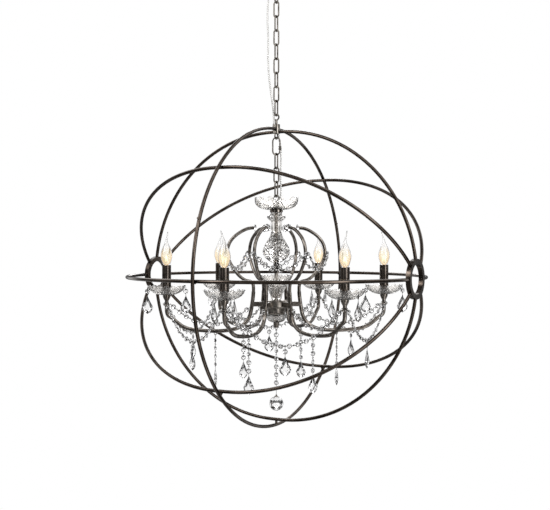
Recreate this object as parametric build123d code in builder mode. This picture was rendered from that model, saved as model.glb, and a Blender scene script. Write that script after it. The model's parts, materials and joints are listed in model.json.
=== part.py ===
from build123d import *
import os
from math import cos, pi, radians, sin, sqrt, tan

os.makedirs("parts", exist_ok=True)

# Frame: the ceiling is z = 0, everything hangs below it, and the orb's hub axis runs along X.
# Heights named *_Z are measured from the orb's centre; level() turns one into a frame height.

# Orb
ORB_RADIUS = 400.0            # centreline of the cross hoop, the outermost one
BAR_DIAMETER = 9.0
HOOP_STEP = 11.4              # the four inner hoops have this much less radius
HOOP_SPREAD = 13.0            # and each of their halves is set out this far towards its hub ring
HOOP_LIFT = 3.0               # and their common centre sits this much higher
HUB_OUTER_RADIUS = 51.0
HUB_INNER_RADIUS = 38.5
HUB_WIDTH = 12.0
TILT_ANGLE = 45.0             # of the two tilted hoops, about the hub axis
TIE_RADIUS = 3.5
HOOP_SCREW_ANGLE = 22.0       # above the equator, on the cross hoop
HOOP_SCREW_RADIUS = 3.2
HOOP_SCREW_HEIGHT = 2.0

# Coupling at the orb's top
COUPLING_RADIUS = 10.0
COUPLING_FLAT = 8.9           # axis to each of the four flats that the hoops' ends sit on
COUPLING_TOP_Z = 412.0
COUPLING_BOTTOM_Z = 387.0
COUPLING_SCREW_RADIUS = 2.2
COUPLING_SCREW_LENGTH = 5.0
COUPLING_SCREW_Z = 392.0
LOOP_WIDTH = 19.5             # over the wire
LOOP_STEM_RADIUS = 3.5
UPPER_SEAT_Z = 437.0          # where the upper loop rests on the first link
LOWER_SEAT_Z = 375.0          # where the quick link rests on the lower loop

# Chain and quick link
WIRE_RADIUS = 2.0
LINK_PITCH = 37.5
LINK_WIDTH = 18.0
SEAT_GAP = 0.1                # air between two wires that hang on each other
UPPER_LINKS = 9
INNER_LINKS = 3
QUICK_PITCH = 42.5
QUICK_WIDTH = 26.0
QUICK_NUT_LENGTH = 10.0
QUICK_NUT_FLATS = 7.5
QUICK_OPENING = 4.0           # gap in the quick link's wire that the nut bridges
THREAD_CLEARANCE = 0.05

# Ceiling set, heights measured down from the ceiling
CANOPY_RADIUS = 62.5
CANOPY_DROP = 30.0
CANOPY_WALL = 1.2
CANOPY_LOOP_WIDTH = 22.0
CANOPY_LOOP_DROP = 65.5       # ceiling to the bottom of the canopy loop
BAR_LENGTH = 110.0
BAR_WIDTH = 20.0
BAR_THICKNESS = 2.0
MOUNT_HOLE_SPACING = 80.0
MOUNT_HOLE_RADIUS = 2.25
NIPPLE_RADIUS = 5.0
NIPPLE_DROP = 42.0
NIPPLE_NUT_FLATS = 17.0
NIPPLE_NUT_HEIGHT = 5.0
COLLAR_RADIUS = 13.0
COLLAR_HEIGHT = 4.0
LOOP_BOSS_RADIUS = 7.5
TERMINAL_SIZE = (21.0, 13.0, 10.0)
TERMINAL_CENTRE = (-19.5, -14.5)

# Flex
FLEX_RADIUS = 2.15
FLEX_HOLE_RADIUS = 2.25
FLEX_OFFSET = 4.67            # of the flex's holes in the coupling, along X and along Y
FLEX_CANOPY_OFFSET = 14.14
FLEX_STEM_OFFSET = 6.2
FLEX_HOLE_DEPTH = 4.5

# Column, from the top down
STEM_SEAT_Z = 220.0           # where the stem loop rests on the lowest link
STEM_LOOP_WIDTH = 20.0
CAP_RADIUS = 13.0
CAP_TOP_Z = 195.0
DISH_FLOOR_Z = 186.0
DISH_BOTTOM_Z = 182.0
TOP_DISH_RADIUS = 59.0
TOP_DISH_RIM_Z = 217.0
TOP_WASHER_RADIUS = 17.5
NECK_TOP_Z = 175.0
NECK_BOTTOM_Z = 120.0
NECK_RADIUS = 15.0
NECK_BORE_RADIUS = 11.0
NECK_COLLAR_RADIUS = 25.0
NECK_COLLAR_TOP_Z = 166.0
NECK_COLLAR_BOTTOM_Z = 153.0
BALUSTER_RADIUS = 37.0
BALUSTER_BOTTOM_Z = 40.0
FOOT_BOTTOM_Z = 20.0
FOOT_RADIUS = 20.0
COLUMN_WASHER_RADIUS = 20.5
COLUMN_WASHER_HEIGHT = 8.0
BOWL_RIM_Z = 8.0
BOWL_RADIUS = 42.0
BOWL_BOTTOM_Z = -61.0
HUB_PLATE_RADIUS = 34.0
HUB_PLATE_BOTTOM_Z = -82.0
HUB_LUG_WIDTH = 12.0
HUB_CUP_RADIUS = 25.0
HUB_CUP_BOTTOM_Z = -112.0
BOTTOM_DISH_RADIUS = 31.0
BOTTOM_DISH_BOTTOM_Z = -122.0
FINIAL_RADIUS = 8.0
FINIAL_BOTTOM_Z = -136.0
STEM_RADIUS = 5.3
STEM_CLEARANCE = 0.1
GLASS_WALL = 3.0

# Arms, in their own vertical plane: distance from the column and height
ARM_COUNT = 6
ARM_START_ANGLE = 34.0
ARM_REACH = 295.0
SCROLL_RADIUS = 4.5
ARM_RADIUS = 5.2
SCROLL_TOP = (60.0, 134.0)
SCROLL_SIDE = (132.0, 62.0)
WAIST = (62.0, -38.0)
SCROLL_POINTS = [SCROLL_TOP, (98.0, 122.0), (123.0, 99.0), SCROLL_SIDE,
                 (121.5, 34.0), (105.0, 10.0), (80.0, -8.0), WAIST]
ARM_SHOULDER = (67.0, -80.0)
ARM_LOW = (165.0, -144.0)
ARM_POINTS = [WAIST, ARM_SHOULDER, (76.0, -112.0), (100.0, -134.0), (130.0, -142.0), ARM_LOW,
              (210.0, -141.0), (253.0, -130.0), (284.0, -106.0), (ARM_REACH, -84.0)]
ARM_TOP_Z = -60.0

# Candle set
CANDLE_CUP_TOP_Z = -46.0
CANDLE_CUP_RADIUS = 10.5
BOBECHE_RADIUS = 50.5
BOBECHE_RIM_Z = -20.0
BOBECHE_FLOOR = 2.5
SLEEVE_RADIUS = 12.0
SLEEVE_WALL = 0.8
SLEEVE_TOP_Z = 34.0
HOLDER_RADIUS = 11.1
HOLDER_STEM_RADIUS = 4.0
LAMP_THREAD_RADIUS = 6.8
LAMP_THREAD_LENGTH = 20.0
LAMP_CLEARANCE = 0.1
BULB_RADIUS = 15.8
BULB_TIP_Z = 123.0
COLLAR_RING_RADIUS = 10.0
COLLAR_RING_TOP_Z = -66.0
COLLAR_RING_HEIGHT = 9.0
BULB_TIP_ANGLES = (170.0, 250.0, 40.0, 100.0, 200.0, 330.0)

# Crystals
BEAD_RADIUS = 7.0
BEAD_HALF_THICKNESS = 2.6
BEAD_TAPER = 38.0
BEAD_PITCH = 21.7
PIN_RADIUS = 0.6
PENDANT_LENGTH = 50.0
PENDANT_WIDTH = 30.0
PENDANT_HALF_THICKNESS = 4.0
PENDANT_TAPER = 35.0
ROSETTE_RADIUS = 10.0
ROSETTE_HALF_THICKNESS = 3.0
UPPER_SWAG_SAG = 37.0
LOWER_SWAG_SAG = 88.0
GARLAND_SAG = 50.0
DROP_BEADS = 4
STRAND_BEADS = 7
EYE_RADIUS = 3.0              # centreline of the small wire eyes that the drops hang in
EYE_WIRE_RADIUS = 0.8
PIN_GAP = 0.25                # air where a swag's slanted pin meets what carries it
BALL_CENTRE_Z = -342.5

ORB_Z = -(CANOPY_LOOP_DROP - 2 * WIRE_RADIUS + UPPER_LINKS * LINK_PITCH + UPPER_SEAT_Z)
INNER_HOOP_RADIUS = ORB_RADIUS - HOOP_STEP
HUB_X = HOOP_SPREAD + sqrt(INNER_HOOP_RADIUS ** 2 - HUB_OUTER_RADIUS ** 2)
BORE_RADIUS = STEM_RADIUS + STEM_CLEARANCE
ARM_PITCH_ANGLE = 360.0 / ARM_COUNT
ARM_ANGLES = [ARM_START_ANGLE + ARM_PITCH_ANGLE * index for index in range(ARM_COUNT)]
CENTRE_TOP = (Align.CENTER, Align.CENTER, Align.MAX)
CENTRE_BOTTOM = (Align.CENTER, Align.CENTER, Align.MIN)


def level(height):
    """Frame height of a height measured from the orb's centre."""
    return ORB_Z + height


def radial_point(distance, angle, height, sideways=0.0):
    """Point at a distance from the column's axis, a polar angle, and a height from the orb's centre."""
    turn = radians(angle)
    x = distance * cos(turn) - sideways * sin(turn)
    y = distance * sin(turn) + sideways * cos(turn)
    return Vector(x, y, level(height))


def turned(profile):
    """Solid of revolution about the column from (radius, height) corners."""
    with BuildPart() as body:
        with BuildSketch(Plane.XZ):
            with BuildLine():
                Polyline(*[(radius, level(height)) for radius, height in profile], close=True)
            make_face()
        revolve(axis=Axis.Z)
    return body.part


def oval_ring(side, straight, wire_radius, plane):
    """Closed ring of round wire: two half circles, and straight runs between them along the plane's Y."""
    with BuildPart() as ring:
        with BuildLine(plane):
            Line((side, -straight), (side, straight))
            CenterArc((0, straight), side, 0, 180)
            Line((-side, straight), (-side, -straight))
            CenterArc((0, -straight), side, 180, 180)
        start = plane.from_local_coords((side, -straight, 0))
        with BuildSketch(Plane(origin=start, z_dir=plane.y_dir)):
            Circle(wire_radius)
        sweep()
    return ring.part


def chain_link(pitch, width, upright_plane):
    """Oval link, centred on the origin, as long inside as its pitch and the seat gap."""
    side = width / 2 - WIRE_RADIUS
    straight = (pitch + SEAT_GAP) / 2 + WIRE_RADIUS - side
    return oval_ring(side, straight, WIRE_RADIUS, upright_plane)


def cord_through(points, radius):
    """Tube of straight runs with a tangent arc at every corner; prints its bend radii."""
    corners = [Vector(*point) for point in points]
    radii = []
    for before, corner, after in zip(corners, corners[1:], corners[2:]):
        shorter = min((corner - before).length, (after - corner).length)
        turn = (corner - before).get_angle(after - corner)
        radii.append(0.45 * shorter / tan(radians(turn / 2)))
    with BuildPart() as cord:
        with BuildLine() as path:
            FilletPolyline(*corners, radius=radii)
        with BuildSketch(Plane(origin=corners[0], z_dir=corners[1] - corners[0])):
            Circle(radius)
        sweep(path=path.line)
    length = path.wire().length
    expected = pi * radius ** 2 * length
    print("cord length", round(length, 1), "bend radii", [round(value) for value in radii],
          "volume over section x length", round(cord.part.volume / expected, 4))
    return cord.part


with BuildPart() as bead:
    with BuildSketch():
        RegularPolygon(radius=BEAD_RADIUS, side_count=8)
    extrude(amount=BEAD_HALF_THICKNESS, both=True, taper=BEAD_TAPER)

with BuildPart() as pendant:
    half = PENDANT_WIDTH / 2
    with BuildSketch(Plane.XZ):
        with BuildLine():
            Polyline((0, 0), (0.6 * half, -0.4 * PENDANT_LENGTH), (half, -0.66 * PENDANT_LENGTH),
                     (0.6 * half, -0.88 * PENDANT_LENGTH), (0, -PENDANT_LENGTH),
                     (-0.6 * half, -0.88 * PENDANT_LENGTH), (-half, -0.66 * PENDANT_LENGTH),
                     (-0.6 * half, -0.4 * PENDANT_LENGTH), close=True)
        make_face()
    extrude(amount=PENDANT_HALF_THICKNESS, both=True, taper=PENDANT_TAPER)


def bead_string(points, bead_points, normal=None):
    """Pins along the points, with a bead on each of the bead points, flat along the string."""
    with BuildPart() as string:
        for start, end in zip(points, points[1:]):
            with Locations(Plane(origin=start, z_dir=end - start)):
                Cylinder(PIN_RADIUS, (end - start).length, align=CENTRE_BOTTOM)
        places = []
        for index in bead_points:
            along = (points[min(index + 1, len(points) - 1)] - points[index - 1]).normalized()
            across = normal or along.cross(Vector(0, 0, 1))
            places.append(Location(Plane(origin=points[index], x_dir=along, z_dir=across)))
        with Locations(*places):
            add(bead.part)
    return string.part


def swag(start, end, sag):
    """Bead string that hangs in a parabola, its beads one pitch apart."""
    steps = 400
    curve = []
    for step in range(steps + 1):
        t = step / steps
        curve.append(start + (end - start) * t - Vector(0, 0, 4 * sag * t * (1 - t)))
    runs = [(b - a).length for a, b in zip(curve, curve[1:])]
    count = round(sum(runs) / BEAD_PITCH)
    spacing = sum(runs) / count
    points = [curve[0]]
    travelled = 0.0
    for run, place in zip(runs, curve[1:]):
        travelled += run
        if travelled >= spacing * (len(points) - 0.5) and len(points) <= count:
            points.append(place)
    points.append(curve[-1])
    return bead_string(points, range(1, len(points) - 1))


def wire_eye(centre, angle):
    """Small upright wire ring whose plane stands at a polar angle."""
    across = (-sin(radians(angle)), cos(radians(angle)), 0)
    with BuildPart() as eye:
        with Locations(Plane(origin=centre, z_dir=across)):
            Torus(EYE_RADIUS, EYE_WIRE_RADIUS)
    return eye.part


# Ceiling set
with BuildPart() as mounting_bar:
    Box(BAR_LENGTH, BAR_WIDTH, BAR_THICKNESS, align=CENTRE_TOP)
    with Locations((-MOUNT_HOLE_SPACING / 2, 0), (MOUNT_HOLE_SPACING / 2, 0)):
        Hole(MOUNT_HOLE_RADIUS)
    Hole(NIPPLE_RADIUS)

with BuildPart() as canopy:
    outer = [(CANOPY_RADIUS, 0), (CANOPY_RADIUS, -0.2 * CANOPY_DROP),
             (0.92 * CANOPY_RADIUS, -0.55 * CANOPY_DROP), (0.66 * CANOPY_RADIUS, -0.87 * CANOPY_DROP),
             (0.3 * CANOPY_RADIUS, -CANOPY_DROP), (0, -CANOPY_DROP)]
    with BuildSketch(Plane.XZ):
        with BuildLine():
            Polyline(*outer, (0, 0), close=True)
        make_face()
    revolve(axis=Axis.Z)
    offset(amount=-CANOPY_WALL, openings=canopy.faces().sort_by(Axis.Z)[-1])
    with Locations((0, 0, -CANOPY_DROP)):
        Cylinder(NIPPLE_RADIUS, 3 * CANOPY_WALL, mode=Mode.SUBTRACT)
    with Locations((-FLEX_CANOPY_OFFSET, -FLEX_CANOPY_OFFSET, -CANOPY_DROP)):
        Cylinder(FLEX_HOLE_RADIUS, 3 * CANOPY_WALL, mode=Mode.SUBTRACT)

with BuildPart() as canopy_nipple:
    with Locations((0, 0, 0)):
        Cylinder(NIPPLE_RADIUS, NIPPLE_DROP, align=CENTRE_TOP)

with BuildPart() as nipple_nut:
    with BuildSketch(Plane.XY.offset(-BAR_THICKNESS)):
        RegularPolygon(radius=NIPPLE_NUT_FLATS / 2, side_count=6, major_radius=False)
        Circle(NIPPLE_RADIUS, mode=Mode.SUBTRACT)
    extrude(amount=-NIPPLE_NUT_HEIGHT)

with BuildPart() as terminal_block:
    with Locations((*TERMINAL_CENTRE, -BAR_THICKNESS)):
        Box(*TERMINAL_SIZE, align=CENTRE_TOP)

loop_centre_drop = CANOPY_LOOP_DROP - CANOPY_LOOP_WIDTH / 2
with BuildPart() as canopy_loop:
    with BuildSketch(Plane.XY.offset(-CANOPY_DROP)):
        Circle(COLLAR_RADIUS)
    extrude(amount=-COLLAR_HEIGHT)
    with BuildSketch(Plane.XY.offset(-CANOPY_DROP - COLLAR_HEIGHT)):
        Circle(LOOP_BOSS_RADIUS)
    extrude(amount=-(loop_centre_drop - CANOPY_LOOP_WIDTH / 2 + 2 * WIRE_RADIUS
                                 - CANOPY_DROP - COLLAR_HEIGHT))
    with Locations((0, 0, -loop_centre_drop)):
        Torus(CANOPY_LOOP_WIDTH / 2 - WIRE_RADIUS, WIRE_RADIUS, rotation=(90, 0, 0))
    with BuildSketch(Plane.XY.offset(-CANOPY_DROP)):
        Circle(NIPPLE_RADIUS)
    extrude(amount=CANOPY_DROP - NIPPLE_DROP, mode=Mode.SUBTRACT)

# Upper chain: odd links stand across the hub axis, even links along it
with BuildPart() as upper_chain_links:
    for index in range(UPPER_LINKS):
        plane = Plane.YZ if index % 2 == 0 else Plane.XZ
        with Locations((0, 0, level(UPPER_SEAT_Z + (index + 0.5) * LINK_PITCH))):
            add(chain_link(LINK_PITCH, LINK_WIDTH, plane))

flex_hole_floor_z = COUPLING_TOP_Z - FLEX_HOLE_DEPTH
flex_upper_points = [
    (-FLEX_OFFSET, -FLEX_OFFSET, level(flex_hole_floor_z)),
    (-FLEX_OFFSET, -FLEX_OFFSET, level(432)),
    (-8.5, -8.5, level(476)),
    (-16.0, -11.0, level(530)),
    (-18.5, -13.5, level(585)),
    (-18.0, -12.0, level(640)),
    (-20.0, -14.0, level(695)),
    (-16.5, -14.5, level(745)),
    (-FLEX_CANOPY_OFFSET, -FLEX_CANOPY_OFFSET, level(790)),
    (-FLEX_CANOPY_OFFSET, -FLEX_CANOPY_OFFSET, -BAR_THICKNESS - TERMINAL_SIZE[2]),
]
with BuildPart() as flex_upper:
    add(cord_through(flex_upper_points, FLEX_RADIUS))

# Coupling
with BuildPart() as coupling_body:
    with BuildSketch(Plane.XY.offset(level(COUPLING_BOTTOM_Z))):
        Circle(COUPLING_RADIUS)
        Rectangle(2 * COUPLING_FLAT, 2 * COUPLING_FLAT, mode=Mode.INTERSECT)
    extrude(amount=COUPLING_TOP_Z - COUPLING_BOTTOM_Z)
    with Locations((-FLEX_OFFSET, -FLEX_OFFSET, level(COUPLING_TOP_Z))):
        Cylinder(FLEX_HOLE_RADIUS, FLEX_HOLE_DEPTH, align=CENTRE_TOP, mode=Mode.SUBTRACT)
    with Locations((FLEX_OFFSET, FLEX_OFFSET, level(COUPLING_BOTTOM_Z))):
        Cylinder(FLEX_HOLE_RADIUS, FLEX_HOLE_DEPTH, align=CENTRE_BOTTOM, mode=Mode.SUBTRACT)

loop_major = LOOP_WIDTH / 2 - WIRE_RADIUS
with BuildPart() as coupling_loops:
    with Locations((0, 0, level(UPPER_SEAT_Z + SEAT_GAP / 2 - loop_major + WIRE_RADIUS))):
        Torus(loop_major, WIRE_RADIUS, rotation=(90, 0, 0))
    with BuildSketch(Plane.XY.offset(level(COUPLING_TOP_Z))):
        Circle(LOOP_STEM_RADIUS)
    extrude(amount=UPPER_SEAT_Z - 2 * loop_major + WIRE_RADIUS - COUPLING_TOP_Z)
    with Locations((0, 0, level(LOWER_SEAT_Z - SEAT_GAP / 2 + loop_major - WIRE_RADIUS))):
        Torus(loop_major, WIRE_RADIUS, rotation=(0, 90, 0))
    add(coupling_body.part, mode=Mode.SUBTRACT)

with BuildPart() as coupling_screw:
    with Locations(Plane(origin=(0, 0, level(COUPLING_SCREW_Z)), z_dir=(1, 1, 0))):
        Cylinder(COUPLING_SCREW_RADIUS, COUPLING_RADIUS + COUPLING_SCREW_LENGTH, align=CENTRE_BOTTOM)
    add(coupling_body.part, mode=Mode.SUBTRACT)
    with BuildSketch(Plane.XY.offset(level(COUPLING_BOTTOM_Z))):
        Circle(COUPLING_RADIUS)
    extrude(amount=COUPLING_TOP_Z - COUPLING_BOTTOM_Z, mode=Mode.SUBTRACT)


# Both hub rings stand across X; their x_dir keeps the seam of the round face away from every hoop
HUB_PLACES = [Plane(origin=(x, 0, level(HOOP_LIFT)), x_dir=(0, 0.9, 0.4), z_dir=(1, 0, 0))
              for x in (HUB_X, -HUB_X)]


# Hoops: the outer one is round, the inner ones pass inside it and reach out to the hub rings
def inner_hoop(tilt):
    """Oval hoop, turned about the hub axis and cut where it meets the hub rings."""
    lean = radians(tilt)
    hoop_plane = Plane(origin=(0, 0, level(HOOP_LIFT)), x_dir=(0, cos(lean), sin(lean)),
                       z_dir=(0, sin(lean), -cos(lean)))
    with BuildPart() as hoop:
        add(oval_ring(INNER_HOOP_RADIUS, HOOP_SPREAD, BAR_DIAMETER / 2, hoop_plane))
        with Locations(*HUB_PLACES):
            Cylinder(HUB_OUTER_RADIUS, 4 * HUB_WIDTH, mode=Mode.SUBTRACT)
    return hoop.part


with BuildPart() as coupling_seat:
    with Locations((0, 0, level(COUPLING_TOP_Z))):
        Box(2 * COUPLING_FLAT, 2 * COUPLING_FLAT, 4 * (COUPLING_TOP_Z - COUPLING_BOTTOM_Z))

with BuildPart() as cross_hoop:
    with Locations((0, 0, level(0))):
        Torus(ORB_RADIUS, BAR_DIAMETER / 2, rotation=(0, 90, 0))
    add(coupling_seat.part, mode=Mode.SUBTRACT)

with BuildPart() as equator_hoop:
    add(inner_hoop(0))

with BuildPart() as side_hoop:
    add(inner_hoop(90))
    add(coupling_seat.part, mode=Mode.SUBTRACT)

with BuildPart() as tilted_hoops:
    for tilt in (TILT_ANGLE, -TILT_ANGLE):
        add(inner_hoop(tilt))

with BuildPart() as hub_rings:
    with Locations(*HUB_PLACES):
        Cylinder(HUB_OUTER_RADIUS, HUB_WIDTH)
        Cylinder(HUB_INNER_RADIUS, HUB_WIDTH, mode=Mode.SUBTRACT)

TIE_ANGLES = [0, 180, 270, TILT_ANGLE, 180 - TILT_ANGLE, 180 + TILT_ANGLE, 360 - TILT_ANGLE]
with BuildPart() as crossing_ties:
    for angle in TIE_ANGLES:
        outward = Vector(0, cos(radians(angle)), sin(radians(angle)))
        inner_radius = INNER_HOOP_RADIUS + HOOP_LIFT * sin(radians(angle))
        with Locations(Plane(origin=Vector(0, 0, level(0)) + outward * inner_radius, z_dir=outward)):
            Cylinder(TIE_RADIUS, ORB_RADIUS - inner_radius, align=CENTRE_BOTTOM)
    for bar in (cross_hoop, equator_hoop, side_hoop, tilted_hoops):
        add(bar.part, mode=Mode.SUBTRACT)

with BuildPart() as cross_hoop_screws:
    for angle in (HOOP_SCREW_ANGLE, 180 - HOOP_SCREW_ANGLE):
        outward = Vector(0, cos(radians(angle)), sin(radians(angle)))
        with Locations(Plane(origin=Vector(0, 0, level(0)) + outward * ORB_RADIUS, z_dir=outward)):
            Cylinder(HOOP_SCREW_RADIUS, BAR_DIAMETER / 2 + HOOP_SCREW_HEIGHT, align=CENTRE_BOTTOM)
    add(cross_hoop.part, mode=Mode.SUBTRACT)

# Inner chain
quick_centre_z = LOWER_SEAT_Z - QUICK_PITCH / 2
quick_side = QUICK_WIDTH / 2 - WIRE_RADIUS
quick_nut_bottom_z = quick_centre_z - QUICK_PITCH / 4
with BuildPart() as quick_link:
    with Locations((0, 0, level(quick_centre_z))):
        add(chain_link(QUICK_PITCH, QUICK_WIDTH, Plane.XZ))
    with Locations((quick_side, 0, level(quick_nut_bottom_z + QUICK_NUT_LENGTH / 2))):
        Box(3 * WIRE_RADIUS, 3 * WIRE_RADIUS, QUICK_OPENING, mode=Mode.SUBTRACT)

with BuildPart() as quick_link_nut:
    with BuildSketch(Plane.XY.offset(level(quick_nut_bottom_z))):
        with Locations((quick_side, 0)):
            RegularPolygon(radius=QUICK_NUT_FLATS / 2, side_count=6, major_radius=False)
            Circle(WIRE_RADIUS + THREAD_CLEARANCE, mode=Mode.SUBTRACT)
    extrude(amount=QUICK_NUT_LENGTH)

with BuildPart() as inner_chain_links:
    for index in range(INNER_LINKS):
        plane = Plane.YZ if index % 2 == 0 else Plane.XZ
        with Locations((0, 0, level(LOWER_SEAT_Z - QUICK_PITCH - (index + 0.5) * LINK_PITCH))):
            add(chain_link(LINK_PITCH, LINK_WIDTH, plane))

flex_lower_points = [
    (FLEX_OFFSET, FLEX_OFFSET, level(COUPLING_BOTTOM_Z + FLEX_HOLE_DEPTH)),
    (FLEX_OFFSET, FLEX_OFFSET, level(376)),
    (8.0, 10.0, level(356)),
    (9.5, 9.5, level(330)),
    (9.0, 8.0, level(300)),
    (8.0, 7.5, level(270)),
    (9.8, 8.5, level(242)),
    (9.0, 8.0, level(222)),
    (FLEX_STEM_OFFSET, FLEX_STEM_OFFSET, level(206)),
    (FLEX_STEM_OFFSET, FLEX_STEM_OFFSET, level(CAP_TOP_Z - FLEX_HOLE_DEPTH)),
]
with BuildPart() as flex_lower:
    add(cord_through(flex_lower_points, FLEX_RADIUS))

# Column
stem_loop_major = STEM_LOOP_WIDTH / 2 - WIRE_RADIUS
stem_loop_centre_z = STEM_SEAT_Z + WIRE_RADIUS - stem_loop_major
with BuildPart() as stem_loop:
    with BuildSketch(Plane.XY.offset(level(DISH_FLOOR_Z))):
        Circle(CAP_RADIUS)
    extrude(amount=CAP_TOP_Z - DISH_FLOOR_Z)
    with BuildSketch(Plane.XY.offset(level(CAP_TOP_Z))):
        Circle(LOOP_STEM_RADIUS)
    extrude(amount=stem_loop_centre_z - stem_loop_major - CAP_TOP_Z)
    with Locations((0, 0, level(stem_loop_centre_z))):
        Torus(stem_loop_major, WIRE_RADIUS, rotation=(90, 0, 0))
    with Locations((FLEX_STEM_OFFSET, FLEX_STEM_OFFSET, level(CAP_TOP_Z))):
        Cylinder(FLEX_HOLE_RADIUS, FLEX_HOLE_DEPTH, align=CENTRE_TOP, mode=Mode.SUBTRACT)

stem_bottom_z = BOTTOM_DISH_BOTTOM_Z - 8.0
with BuildPart() as stem_tube:
    with BuildSketch(Plane.XY.offset(level(stem_bottom_z))):
        Circle(STEM_RADIUS)
    extrude(amount=DISH_FLOOR_Z - stem_bottom_z)


def scalloped(profile, rim_radius, rim_z, count, bite):
    """Turned glass whose rim is cut into scallops by radial cylinders."""
    with BuildPart() as dish:
        add(turned(profile))
        with Locations((0, 0, level(rim_z + 0.3 * bite))):
            with PolarLocations(0, count):
                Cylinder(bite, rim_radius + bite, rotation=(0, 90, 0), mode=Mode.SUBTRACT,
                         align=(Align.CENTER, Align.CENTER, Align.MIN))
    return dish.part


TOP_DISH_SCALLOPS = 12
with BuildPart() as top_dish:
    add(scalloped([
        (BORE_RADIUS, DISH_BOTTOM_Z), (20, DISH_BOTTOM_Z), (42, DISH_BOTTOM_Z + 4), (55, DISH_BOTTOM_Z + 13),
        (TOP_DISH_RADIUS, DISH_BOTTOM_Z + 24), (TOP_DISH_RADIUS, TOP_DISH_RIM_Z),
        (TOP_DISH_RADIUS - GLASS_WALL, TOP_DISH_RIM_Z), (TOP_DISH_RADIUS - GLASS_WALL, DISH_BOTTOM_Z + 25),
        (52, DISH_BOTTOM_Z + 15), (40, DISH_FLOOR_Z + 3), (20, DISH_FLOOR_Z), (BORE_RADIUS, DISH_FLOOR_Z),
    ], TOP_DISH_RADIUS, TOP_DISH_RIM_Z, TOP_DISH_SCALLOPS, 6.5))

with BuildPart() as column_washers:
    add(turned([(BORE_RADIUS, DISH_BOTTOM_Z), (TOP_WASHER_RADIUS, DISH_BOTTOM_Z),
                (TOP_WASHER_RADIUS, DISH_BOTTOM_Z - 5), (TOP_WASHER_RADIUS - 2, NECK_TOP_Z),
                (BORE_RADIUS, NECK_TOP_Z)]))
    add(turned([(BORE_RADIUS, FOOT_BOTTOM_Z), (COLUMN_WASHER_RADIUS, FOOT_BOTTOM_Z),
                (COLUMN_WASHER_RADIUS, FOOT_BOTTOM_Z - COLUMN_WASHER_HEIGHT),
                (BORE_RADIUS, FOOT_BOTTOM_Z - COLUMN_WASHER_HEIGHT)]))

with BuildPart() as glass_neck:
    add(turned([
        (NECK_BORE_RADIUS, NECK_TOP_Z), (NECK_RADIUS, NECK_TOP_Z), (NECK_RADIUS, NECK_COLLAR_TOP_Z + 4),
        (NECK_COLLAR_RADIUS, NECK_COLLAR_TOP_Z), (NECK_COLLAR_RADIUS, NECK_COLLAR_TOP_Z - 5),
        (NECK_RADIUS, NECK_COLLAR_BOTTOM_Z), (NECK_RADIUS, NECK_BOTTOM_Z), (NECK_BORE_RADIUS, NECK_BOTTOM_Z),
    ]))

with BuildPart() as baluster:
    add(turned([
        (BORE_RADIUS + 1, NECK_BOTTOM_Z), (NECK_RADIUS, NECK_BOTTOM_Z), (NECK_RADIUS + 1, 112), (22, 102),
        (31, 88), (BALUSTER_RADIUS, 73), (35, 60), (27, 50), (16, 43), (10, BALUSTER_BOTTOM_Z),
        (BORE_RADIUS + 1, BALUSTER_BOTTOM_Z),
    ]))

with BuildPart() as glass_foot:
    add(turned([
        (BORE_RADIUS, BALUSTER_BOTTOM_Z), (8, BALUSTER_BOTTOM_Z), (8, 33), (12, 27),
        (FOOT_RADIUS, FOOT_BOTTOM_Z + 2), (FOOT_RADIUS, FOOT_BOTTOM_Z), (BORE_RADIUS, FOOT_BOTTOM_Z),
    ]))

BOWL_SCALLOPS = 12
with BuildPart() as cut_bowl:
    add(scalloped([
        (BORE_RADIUS, BOWL_BOTTOM_Z), (13.5, BOWL_BOTTOM_Z), (15, -50), (24, -30), (36, -8),
        (BOWL_RADIUS, BOWL_RIM_Z), (BOWL_RADIUS - GLASS_WALL, BOWL_RIM_Z), (33, -8), (21, -30), (12, -50),
        (9, -54), (BORE_RADIUS, -54),
    ], BOWL_RADIUS, BOWL_RIM_Z, BOWL_SCALLOPS, 4.5))

# Arms and scrolls: one is drawn in the XZ plane and turned to each arm angle
with BuildPart() as scroll:
    with BuildLine(Plane.XZ) as scroll_path:
        Spline(*[(distance, level(height)) for distance, height in SCROLL_POINTS],
               tangents=[(1, 0.05), (0.05, -1)])
    with BuildSketch(Plane(origin=scroll_path.line @ 0, z_dir=scroll_path.line % 0)):
        Circle(SCROLL_RADIUS)
    sweep()

with BuildPart() as arm:
    with BuildLine(Plane.XZ) as arm_path:
        Spline(*[(distance, level(height)) for distance, height in ARM_POINTS],
               tangents=[(0.05, -1), (0, 1)])
        Line((ARM_REACH, level(ARM_POINTS[-1][1])), (ARM_REACH, level(ARM_TOP_Z)))
    with BuildSketch(Plane(origin=arm_path.line @ 0, z_dir=arm_path.line % 0)):
        Circle(ARM_RADIUS)
    sweep()
    eye_centre_z = ARM_LOW[1] - ARM_RADIUS - EYE_RADIUS + EYE_WIRE_RADIUS
    add(wire_eye((ARM_LOW[0], 0, level(eye_centre_z)), 0))

with BuildPart() as scrolls:
    with PolarLocations(0, ARM_COUNT, start_angle=ARM_START_ANGLE):
        add(scroll.part)

with BuildPart() as arms:
    with PolarLocations(0, ARM_COUNT, start_angle=ARM_START_ANGLE):
        add(arm.part)

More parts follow.
